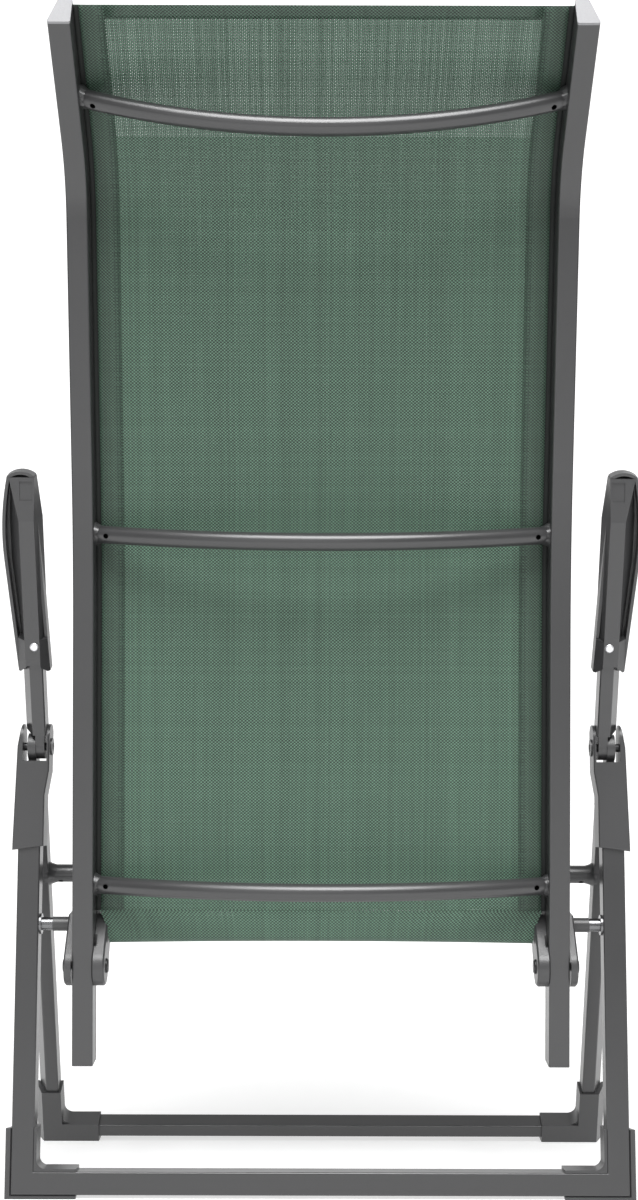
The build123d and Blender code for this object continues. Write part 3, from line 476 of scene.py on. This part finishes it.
def moulded_plastic():
    """Grained plastic of the fittings."""
    return coated("moulded_plastic", settings("metal").plastic, rough=0.38, metallic=0.0, scale=900.0,
                  depth=0.30, clouding=0.08, gloss=0.7)


def end_plastic():
    """Lighter, mottled plastic of the end caps."""
    return coated("end_plastic", shade(settings("metal").plastic, factor=6.4), rough=0.50, metallic=0.0,
                  scale=500.0, depth=0.6, clouding=0.9)


def bead_plastic():
    """Black plastic of the edge beads. The same black paints the shade band beside each channel and the shade
    in the screw recesses.
    """
    return coated("bead_plastic", settings("cloth").bead_and_shade_colour, rough=0.6, metallic=0.0, scale=900.0,
                  depth=0.1, clouding=0.05, gloss=0.3)


def bright_steel():
    """Plain steel of spacers, collars and bushes."""
    return coated("bright_steel", settings("metal").steel, rough=0.28, metallic=1.0, scale=2200.0,
                  depth=0.15, clouding=0.10)


def plated_steel():
    """Bright plated steel of the armrest screws."""
    return coated("plated_steel", shade(settings("metal").steel, factor=4.1), rough=0.35, metallic=0.7,
                  scale=2200.0, depth=0.10, clouding=0.05)


def dark_steel():
    """Blackened steel of pins, bolts and rivets."""
    return coated("dark_steel", shade(settings("metal").steel, factor=0.35), rough=0.40, metallic=1.0,
                  scale=1800.0, depth=0.20, clouding=0.15)


def stitched(tree, place, rows):
    """Mask of rows of stitches that run up the cloth on both sides of the middle."""
    axes = add_node(tree, "SeparateXYZ", {0: place})
    across = maths(tree, "ABSOLUTE", axes.outputs[0])
    lines = []
    for row in rows:
        off = maths(tree, "ABSOLUTE", maths(tree, "SUBTRACT", across, row))
        lines.append(maths(tree, "LESS_THAN", off, STITCH_HALF_WIDTH))
    dash = maths(tree, "PINGPONG", maths(tree, "DIVIDE", axes.outputs[1], STITCH_PITCH), 0.5)
    return maths(tree, "MULTIPLY", maths(tree, "MAXIMUM", *lines),
                 maths(tree, "GREATER_THAN", dash, STITCH_HALF_GAP))


def weave_cloth(name, dim=1.0, opening=None, veil=0.0, warp=1.0, weft=1.0, twill=0.0, seed=0.0,
                stitches=()):
    """Open mesh of coated yarn, read from the piece's UV map in metres, and two rows of stitches if given."""
    found = bpy.data.materials.get(name)
    if found:
        return found
    cloth = settings("cloth")
    material, tree, shader = new_material(name)
    place = add_node(tree, "UVMap", uv_map=UV).outputs[0]
    weave = use_group(tree, open_weave(), vector=place, warp=warp * cloth.pitch, weft=weft * cloth.weft,
                      opening=cloth.opening if opening is None else opening, veil=veil,
                      wander=cloth.wander, twill=twill, seed=seed)
    colour = toned(tree, shade(cloth.colour, dim), weave.outputs["Tone"])
    height = weave.outputs["Height"]
    if stitches:
        mask = stitched(tree, place, stitches)
        mix = add_node(tree, "Mix", {0: mask, 6: colour, 7: (*cloth.thread_colour, 1.0)}, data_type="RGBA")
        colour = mix.outputs[2]
        height = maths(tree, "ADD", height, mask)
    tree.links.new(colour, shader.inputs["Base Color"])
    tree.links.new(weave.outputs["Cover"], shader.inputs["Alpha"])
    shader.inputs["Roughness"].default_value = 0.45
    shader.inputs["Sheen Weight"].default_value = 0.1
    bumped(tree, shader, height, strength=0.5)
    return material


def body_cloth():
    """Single layer of the back and of the loop."""
    return weave_cloth("body_cloth")


def seat_cloth():
    """Cloth of the seat, finer than the back's, with its holes partly veiled."""
    return weave_cloth("seat_cloth", opening=0.05, veil=0.75, warp=0.976, weft=0.62, seed=5.0)


def hem_cloth():
    """Doubled cloth of the hems: closed, darkened by painted shade, with a slanting pattern and stitches."""
    cloth = settings("cloth")
    inner = cloth.half_width - HEM_INSET - cloth.hem
    # dim darkens the yarn colour of the hems as painted shade
    return weave_cloth("hem_cloth", dim=0.64, opening=-0.03, twill=0.34, seed=9.0,
                       stitches=[inner + row for row in STITCH_ROWS])


def backdrop_paint():
    """White paint of floor and backdrop, which is lit up behind the chair."""
    stage = settings("stage")
    material, tree, shader = new_material("backdrop_paint")
    place = add_node(tree, "TexCoord").outputs["Object"]
    axes = add_node(tree, "SeparateXYZ", {0: place})
    glow = add_node(tree, "MapRange", {"Value": axes.outputs[1], "From Min": -0.1, "From Max": 1.2,
                                       "To Min": 0.85},
                    interpolation_type="SMOOTHSTEP")
    light = add_node(tree, "Mix", {0: glow.outputs[0], 6: (0.0, 0.0, 0.0, 1.0), 7: (1.0, 1.0, 1.0, 1.0)},
                     data_type="RGBA")
    grain = use_group(tree, fine_grain(), vector=place, scale=40.0, clouding=0.01)
    tree.links.new(toned(tree, stage.paint, grain.outputs["Tone"]), shader.inputs["Base Color"])
    tree.links.new(light.outputs[2], shader.inputs["Emission Color"])
    shader.inputs["Emission Strength"].default_value = stage.glow
    shader.inputs["Roughness"].default_value = 0.9
    return material


# Meshes
def new_piece(name, bm, material, body, smooth=True):
    """Turn a bmesh into an object that rides on a body of the frame, or on none."""
    piece = new_object(name, bm, material, smooth)
    if body:
        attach(piece, body)
    return piece


def new_object(name, bm, material, smooth=True):
    """Turn a bmesh into an object with a material."""
    mesh = bpy.data.meshes.new(name)
    for face in bm.faces:
        face.smooth = smooth
    bm.to_mesh(mesh)
    bm.free()
    made = bpy.data.objects.new(name, mesh)
    bpy.context.collection.objects.link(made)
    mesh.materials.append(material)
    return made


def back_place(distance, depth=0.0):
    """Point this far up the rear face of a stile from the foot of the cloth, moved forward by a depth.

    Gives y, z and the lean there."""
    back = settings("back")
    upright = back.lumbar_start - back.cloth_bottom
    lumbar = back.lumbar_radius * back.lumbar_lean
    head = back.head_radius * back.head_lean
    left = distance
    y, z, lean = 0.0, back.cloth_bottom, 0.0
    for run, turn in ((upright, 0.0), (lumbar, back.lumbar_lean), (back.panel, 0.0),
                      (head, back.head_lean), (back.head, 0.0)):
        step = min(left, run)
        if turn:
            radius = run / turn
            angle = step / radius
            y += radius * (math.cos(lean + angle) - math.cos(lean))
            z += radius * (math.sin(lean + angle) - math.sin(lean))
            lean += angle
        else:
            y -= step * math.sin(lean)
            z += step * math.cos(lean)
        left -= step
        if left <= 0:
            break
    return (back.rear_y + y + depth * math.cos(lean), z + depth * math.sin(lean), lean)


def back_length():
    """Length of the rear face of a stile from the foot of the cloth to its top."""
    back = settings("back")
    return (back.lumbar_start - back.cloth_bottom + back.lumbar_radius * back.lumbar_lean + back.panel
            + back.head_radius * back.head_lean + back.head)


def cloth_strip(low, high, place, start, length, columns, rows, slack=0.0):
    """Bmesh of a strip of cloth from x = low to high that follows place, with its UV map in metres.

    Gives its length along place too."""
    bm = bmesh.new()
    layer = bm.loops.layers.uv.new(UV)
    bmesh.ops.create_grid(bm, x_segments=columns, y_segments=rows, size=0.5)
    run, last, along = 0.0, None, []
    for row in range(rows + 1):
        y, z, _ = place(start + length * row / rows)
        if last:
            run += math.dist(last, (y, z))
        last = (y, z)
        along.append(run)
    where = {}
    for vert in bm.verts:
        share_x, share_y = vert.co.x + 0.5, vert.co.y + 0.5
        x = low + (high - low) * share_x
        y, z, lean = place(start + length * share_y)
        droop = slack * share_y ** SAG_POWER * max(0.0, 1.0 - (x / SAG_HALF_WIDTH) ** 2)
        vert.co = Vector((x, y + droop * math.sin(lean), z - droop * math.cos(lean)))
        where[vert] = (x, along[round(share_y * rows)])
    for face in bm.faces:
        for loop in face.loops:
            loop[layer].uv = where[loop.vert]
    return bm, along[-1]


def thicken(piece, thick):
    """Give a sheet its thickness."""
    made = piece.modifiers.new("thickness", "SOLIDIFY")
    made.thickness = thick
    made.offset = 0.0
    return piece


def side_strips(prefix, outer, width, place, length, columns, rows, material, body, thick):
    """A strip of cloth along each side of a sheet, from x = outer inwards."""
    strips = []
    for name, side in SIDES.items():
        low, high = sorted((side * outer, side * (outer - width)))
        bm, _ = cloth_strip(low, high, place, 0.0, length, columns, rows)
        strips.append(thicken(new_piece(prefix + name, bm, material, body), thick))
    return strips


def edges_at(verts):
    """The edges that meet these points, each once and in the same order on every run."""
    return list(dict.fromkeys(edge for vert in verts for edge in vert.link_edges))


def bead_along(bm, x, place, start, length, steps, radius):
    """Round bead that follows place, extruded ring by ring from a circle."""
    y, z, lean = place(start)
    turn = Matrix.Translation((x, y, z)) @ Matrix.Rotation(lean, 4, "X")
    made = bmesh.ops.create_circle(bm, cap_ends=True, radius=radius, segments=BEAD_SIDES, matrix=turn)
    edges = edges_at(made["verts"])
    for step in range(1, steps + 1):
        edges, verts = extrude_ring(bm, edges)
        old_y, old_z, old_lean = y, z, lean
        y, z, lean = place(start + length * step / steps)
        move = (Matrix.Translation((0, y, z)) @ Matrix.Rotation(lean - old_lean, 4, "X")
                @ Matrix.Translation((0, -old_y, -old_z)))
        bmesh.ops.transform(bm, matrix=move, verts=verts)
    bmesh.ops.contextual_create(bm, geom=edges)
    bmesh.ops.recalc_face_normals(bm, faces=bm.faces)


def extrude_ring(bm, edges):
    """Extrude a ring of edges. Gives the new ring's edges and points."""
    grown = bmesh.ops.extrude_edge_only(bm, edges=edges)["geom"]
    return ([part for part in grown if isinstance(part, bmesh.types.BMEdge)],
            [part for part in grown if isinstance(part, bmesh.types.BMVert)])


def order_faces(bm):
    """Sort faces by their points, because an extrusion leaves them in another order on each run."""
    bm.verts.index_update()
    count = len(bm.verts)
    bm.faces.sort(key=lambda face: min(vert.index for vert in face.verts) * count
                  + max(vert.index for vert in face.verts))


def edge_beads(name, place, start, length, steps, body):
    """The round beads on both edges of a cloth, which sit in the channels of the rails."""
    cloth = settings("cloth")
    bm = bmesh.new()
    for side in SIDES.values():
        bead_along(bm, side * (cloth.half_width + BEAD_DEPTH), place, start, length, steps, cloth.bead)
    order_faces(bm)
    return new_piece(name, bm, bead_plastic(), body)


def weld_ends(bm, place, lean, turn, radius):
    """A slightly uneven weld round each end of a tube, at a place on the right and its mirror on the left."""
    weld = settings("weld")
    x, y, z = place
    for side in SIDES.values():
        ring = bmesh.ops.create_circle(bm, cap_ends=False, radius=radius + weld.size, segments=weld.facets)
        edges, verts = edges_at(ring["verts"]), list(ring["verts"])
        bmesh.ops.translate(bm, vec=(0, 0, WELD_START), verts=verts)
        for out, up in WELD_OUTLINE:
            edges, new = extrude_ring(bm, edges)
            now = sum(vert.co.xy.length for vert in new) / len(new)
            share = (radius + weld.size * out) / now
            bmesh.ops.scale(bm, vec=(share, share, 1), verts=new)
            bmesh.ops.translate(bm, vec=(0, 0, up), verts=new)
            for vert in new:
                spot = Vector((vert.co.x, vert.co.y, vert.co.z + x + y + z))
                uneven = noise.noise(spot * WELD_ROUGHNESS_SCALE)
                vert.co.z += WELD_ROUGHNESS_UP * uneven
                vert.co.xy *= 1 + WELD_ROUGHNESS_SHARE * out * uneven
            verts += new
        at_end = (Matrix.Translation((side * x, y, z)) @ Matrix.Rotation(lean, 4, "X")
                  @ Matrix.Rotation(side * turn, 4, "Z") @ Matrix.Rotation(-side * math.pi / 2, 4, "Y"))
        bmesh.ops.transform(bm, matrix=at_end, verts=verts)


# Operators
class DECKCHAIR_OT_finishes(bpy.types.Operator):
    """Give the tubes, mouldings and fasteners of the frame their finishes"""
    bl_idname = "deck_chair.finishes"
    bl_label = "Finishes"

    def execute(self, context):
        slots = {entry["node"]: entry["material_slot"] for entry in frame["record"]["subparts"]}
        by_slot = {"frame": powder_coat, "fittings": moulded_plastic, "steel": bright_steel,
                   "cloth": body_cloth}
        by_node = {"seat_pivot_bolts": dark_steel, "apex_pins": dark_steel, "knee_pins": dark_steel,
                   "back_pivot_rivets": dark_steel, "armrest_screws": plated_steel,
                   "stile_top_caps": end_plastic, "leg_rest_caps": end_plastic}
        for name, node in frame["nodes"].items():
            material = by_node.get(name, by_slot[slots[name]])()
            if not node.material_slots:
                node.data.materials.append(material)
            for slot in node.material_slots:
                slot.material = material
        return {"FINISHED"}


class DECKCHAIR_OT_back_cloth(bpy.types.Operator):
    """Stretch the cloth of the back between its stiles, with hems, stitches, beads and a black band of
    painted shade beside each channel
    """
    bl_idname = "deck_chair.back_cloth"
    bl_label = "Back cloth"

    def execute(self, context):
        cloth, back = settings("cloth"), settings("back")
        length = back_length()
        columns, rows = 24, 110

        def sheet_place(distance):
            return back_place(distance, back.cloth_depth)

        def hem_place(distance):
            return back_place(distance, back.cloth_depth - cloth.thick - LAYER_GAP)

        # Depth of the black band of painted shade
        def shade_band_place(distance):
            return back_place(distance, back.cloth_depth - 2 * cloth.thick - SHADE_BAND_GAP)

        bm, flat = cloth_strip(-cloth.half_width, cloth.half_width, sheet_place, 0.0, length, columns, rows,
                               cloth.slack)
        sheet = new_piece("back_cloth", bm, body_cloth(), "back")
        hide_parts("back_sling")
        edge = cloth.half_width - HEM_INSET
        hems = side_strips("back_hem_", edge, cloth.hem, hem_place, length, columns=3, rows=rows,
                           material=hem_cloth(), body="back", thick=cloth.thick)
        bm, _ = cloth_strip(-edge + cloth.hem, edge - cloth.hem, hem_place, length - cloth.top_hem,
                            cloth.top_hem, columns, rows=3)
        hems.append(thicken(new_piece("back_top_hem", bm, hem_cloth(), "back"), cloth.thick))
        # A black band beside each channel: painted shade of the stile's inner side and the gap beside the
        # cloth
        hems += side_strips("back_welt_", cloth.half_width, cloth.shade_band, shade_band_place, length, columns=1,
                            rows=rows, material=bead_plastic(), body="back", thick=cloth.thick / 2)
        hems.append(edge_beads("back_beads", sheet_place, 0.0, length, steps=60, body="back"))
        return {"FINISHED"}


class DECKCHAIR_OT_seat_cloth(bpy.types.Operator):
    """Stretch one flat cloth over seat and leg rest"""
    bl_idname = "deck_chair.seat_cloth"
    bl_label = "Seat cloth"

    def execute(self, context):
        cloth = settings("cloth")
        low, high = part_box("seat_sling"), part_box("leg_rest_sling")
        middle = (low[0][1] + low[1][1]) / 2
        bottom, top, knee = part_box("sling_loop")[1][2], high[1][2], low[1][2]
        columns, rows = 24, 90

        def sheet_place(distance):
            return (middle, bottom + distance, 0.0)

        def hem_place(distance):
            return (middle + cloth.thick + LAYER_GAP, bottom + distance, 0.0)

        bm, flat = cloth_strip(-cloth.half_width, cloth.half_width, sheet_place, 0.0, top - bottom, columns,
                               rows)
        sheet = new_piece("seat_cloth", bm, seat_cloth(), None)
        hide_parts("seat_sling", "leg_rest_sling")
        pieces = side_strips("seat_hem_", cloth.half_width - HEM_INSET, cloth.hem, hem_place, top - bottom,
                             columns=3, rows=rows, material=hem_cloth(), body=None, thick=cloth.thick)
        for piece in (sheet, *pieces):
            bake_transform(piece)
        seat_end, rest_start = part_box("seat_rail_left")[1][2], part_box("leg_rest_rail_left")[0][2]
        pieces.append(edge_beads("seat_beads", sheet_place, 0.0, seat_end - bottom, steps=4, body="seat"))
        pieces.append(edge_beads("leg_rest_beads", sheet_place, rest_start - bottom, top - rest_start,
                                 steps=4, body="leg_rest"))
        return {"FINISHED"}


class DECKCHAIR_OT_loop(bpy.types.Operator):
    """Hang the free loop of cloth that joins the back to the seat"""
    bl_idname = "deck_chair.loop"
    bl_label = "Cloth loop"

    def execute(self, context):
        low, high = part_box("sling_loop")
        radius = (high[1] - low[1] - LOOP_SIDE_ROOM) / 2
        middle, straight = (low[1] + high[1]) / 2, high[2] - low[2] - LOOP_FOOT_ROOM - radius
        length = 2 * straight + math.pi * radius

        def place(distance):
            if distance <= straight:
                return (middle - radius, high[2] - distance, 0.0)
            if distance >= length - straight:
                return (middle + radius, high[2] - (length - distance), 0.0)
            angle = (distance - straight) / radius
            return (middle - radius * math.cos(angle), high[2] - straight - radius * math.sin(angle), 0.0)

        bm, flat = cloth_strip(low[0], high[0], place, 0.0, length, columns=24, rows=40)
        for vert in bm.verts:
            share = (vert.co.z - low[2]) / (high[2] - low[2])
            rise = LOOP_RISE * (1 - share) * (1 - (vert.co.x / high[0]) ** 2)
            wider = 1 + LOOP_WIDENING * share ** 2
            vert.co = Vector((vert.co.x * wider, vert.co.y, vert.co.z + rise))
        loop = new_piece("cloth_loop", bm, body_cloth(), None)
        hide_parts("sling_loop")
        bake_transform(loop)
        return {"FINISHED"}


class DECKCHAIR_OT_welds(bpy.types.Operator):
    """Lay a weld round each end of the tubes"""
    bl_idname = "deck_chair.welds"
    bl_label = "Welds"

    def execute(self, context):
        weld, back = settings("weld"), settings("back")
        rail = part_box("lower_crossbar")[1][0]
        slant = math.asin(rail / ((rail ** 2 + weld.bow ** 2) / (2 * weld.bow)))

        def middle_of(node):
            low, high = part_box(node)
            return (high[0], (low[1] + high[1]) / 2, (low[2] + high[2]) / 2)

        welds = {"back": bmesh.new(), "leg_rest": bmesh.new(), "seat": bmesh.new(),
                 "front_legs": bmesh.new()}
        lower = middle_of("lower_crossbar")[2] - back.cloth_bottom
        top = back_length() - back.head + weld.top_bar
        for distance, lean in ((lower, 0.0), (weld.middle_bar - back.cloth_bottom, weld.middle_lean),
                               (top, None)):
            y, z, own = back_place(distance, weld.bar_depth)
            weld_ends(welds["back"], (rail, y, z), own if lean is None else lean, slant, weld.bar_radius)
        _, y, z = middle_of("leg_rest_end_bar")
        weld_ends(welds["leg_rest"], (rail, y, z), 0.0, 0.0, weld.bar_radius)
        _, _, z = middle_of("seat_front_bar")
        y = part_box("seat_front_bar")[0][1] + weld.bar_radius
        weld_ends(welds["seat"], (rail, y, z), 0.0, weld.seat_bar_slant, weld.bar_radius)
        weld_ends(welds["front_legs"], middle_of("front_cross_tube"), 0.0, 0.0, weld.cross_tube_radius)
        for body, bm in welds.items():
            bmesh.ops.recalc_face_normals(bm, faces=bm.faces)
            order_faces(bm)
            new_piece("welds_" + body, bm, powder_coat(), body)
        return {"FINISHED"}


class DECKCHAIR_OT_recess_shades(bpy.types.Operator):
    """Lay a dark hexagon on the head of each armrest screw, a painted shade of its recess"""
    bl_idname = "deck_chair.recesses"
    bl_label = "Screw recesses"

    def execute(self, context):
        metal = settings("metal")
        node = frame["nodes"]["armrest_screws"]
        places = [node.matrix_world @ vert.co for vert in node.data.vertices]
        outward = Vector((0, -math.cos(metal.lever_lean), -math.sin(metal.lever_lean)))
        bm = bmesh.new()
        for side in SIDES.values():
            own = [place for place in places if place.x * side > 0]
            reach = max(place.dot(outward) for place in own)
            crown = [place for place in own if place.dot(outward) > reach - metal.recess]
            centre = sum(crown, Vector()) / len(crown) + outward * RECESS_LIFT
            turn = Matrix.Translation(centre) @ outward.to_track_quat("Z", "Y").to_matrix().to_4x4()
            bmesh.ops.create_circle(bm, cap_ends=True, radius=metal.recess, segments=RECESS_SIDES,
                                    matrix=turn)
        # A flat black hexagon just above each crown paints the shade in the recess
        new_piece("screw_recesses", bm, bead_plastic(), "front_legs", smooth=False)
        return {"FINISHED"}


class DECKCHAIR_OT_stage(bpy.types.Operator):
    """Set the pale floor, the soft lights and the camera"""
    bl_idname = "deck_chair.stage"
    bl_label = "Stage"

    def execute(self, context):
        self.set_floor(settings("stage"))
        self.set_lights(context, settings("stage"))
        self.set_camera(context, settings("stage"), settings("back"))
        return {"FINISHED"}

    def set_floor(self, stage):
        """A floor that bends up into an upright backdrop behind the chair."""
        bm = bmesh.new()
        bmesh.ops.create_grid(bm, x_segments=1, y_segments=1, size=stage.floor_size / 2)
        far = [edge for edge in bm.edges if all(vert.co.y > 0 for vert in edge.verts)]
        bmesh.ops.translate(bm, vec=(0, -stage.cove, 0),
                            verts=list({vert for edge in far for vert in edge.verts}))
        centre = Vector((0, max(vert.co.y for vert in bm.verts), stage.cove))
        bmesh.ops.spin(bm, geom=far, cent=centre, axis=(1, 0, 0), angle=math.pi / 2, steps=COVE_STEPS)
        nearly_top = max(vert.co.z for vert in bm.verts) - TOP_TOLERANCE
        upper = [edge for edge in bm.edges if all(vert.co.z > nearly_top for vert in edge.verts)]
        _, verts = extrude_ring(bm, upper)
        bmesh.ops.translate(bm, vec=(0, 0, stage.wall), verts=verts)
        bmesh.ops.recalc_face_normals(bm, faces=bm.faces)
        new_object("pale_floor", bm, backdrop_paint())

    def set_lights(self, context, stage):
        """White surroundings and two large soft panels."""
        world = bpy.data.worlds.new("soft_studio")
        world.use_nodes = True
        background = world.node_tree.nodes["Background"]
        background.inputs["Color"].default_value = (1.0, 1.0, 1.0, 1.0)
        background.inputs["Strength"].default_value = stage.sky
        context.scene.world = world
        for name, (place, aim, size) in LIGHTS.items():
            light = bpy.data.lights.new(name + "_light", "AREA")
            light.shape = "RECTANGLE"
            light.size, light.size_y = size
            light.energy = getattr(stage, name)
            lamp = bpy.data.objects.new(name + "_light", light)
            lamp.location = place
            lamp.rotation_euler = (Vector(aim) - Vector(place)).to_track_quat("-Z", "Y").to_euler()
            context.collection.objects.link(lamp)
        context.scene.view_settings.view_transform = "Standard"

    def set_camera(self, context, stage, back):
        """Camera behind the chair, level, at the height and distance of the photographed view."""
        data = bpy.data.cameras.new("camera")
        data.sensor_fit = "AUTO"
        data.sensor_width = 36.0
        data.lens = stage.lens
        data.clip_start, data.clip_end = 0.05, 60.0
        camera = bpy.data.objects.new("camera", data)
        camera.location = (-stage.camera_aside, back.rear_y - stage.camera_distance, stage.camera_height)
        camera.rotation_euler = (math.pi / 2, stage.camera_roll, 0)
        context.collection.objects.link(camera)
        context.scene.camera = camera


OPERATORS = (DECKCHAIR_OT_finishes, DECKCHAIR_OT_back_cloth, DECKCHAIR_OT_seat_cloth, DECKCHAIR_OT_loop,
             DECKCHAIR_OT_welds, DECKCHAIR_OT_recess_shades, DECKCHAIR_OT_stage)
GROUPS = {"stage": StageSettings, "cloth": ClothSettings, "back": BackSettings, "metal": MetalSettings,
          "weld": WeldSettings}


class DECKCHAIR_PT_panel(bpy.types.Panel):
    """Lists the pieces of the chair and their sizes"""
    bl_idname = "DECKCHAIR_PT_panel"
    bl_label = "Deck chair"
    bl_space_type = "VIEW_3D"
    bl_region_type = "UI"
    bl_category = "Deck chair"

    def draw(self, context):
        for operator in OPERATORS:
            self.layout.operator(operator.bl_idname)
        for name in GROUPS:
            box = self.layout.box()
            group = settings(name)
            for key in group.bl_rna.properties.keys():
                if key not in ("rna_type", "name"):
                    box.prop(group, key)


def register():
    for made in (*GROUPS.values(), *OPERATORS, DECKCHAIR_PT_panel):
        bpy.utils.register_class(made)
    for name, group in GROUPS.items():
        setattr(bpy.types.Scene, "deck_chair_" + name, PointerProperty(type=group))


def unregister():
    for name in GROUPS:
        delattr(bpy.types.Scene, "deck_chair_" + name)
    for made in (DECKCHAIR_PT_panel, *reversed(OPERATORS), *reversed(GROUPS.values())):
        bpy.utils.unregister_class(made)


def main():
    register()
    for operator in OPERATORS:
        group, name = operator.bl_idname.split(".")
        getattr(getattr(bpy.ops, group), name)()


if __name__ == "__main__":
    main()
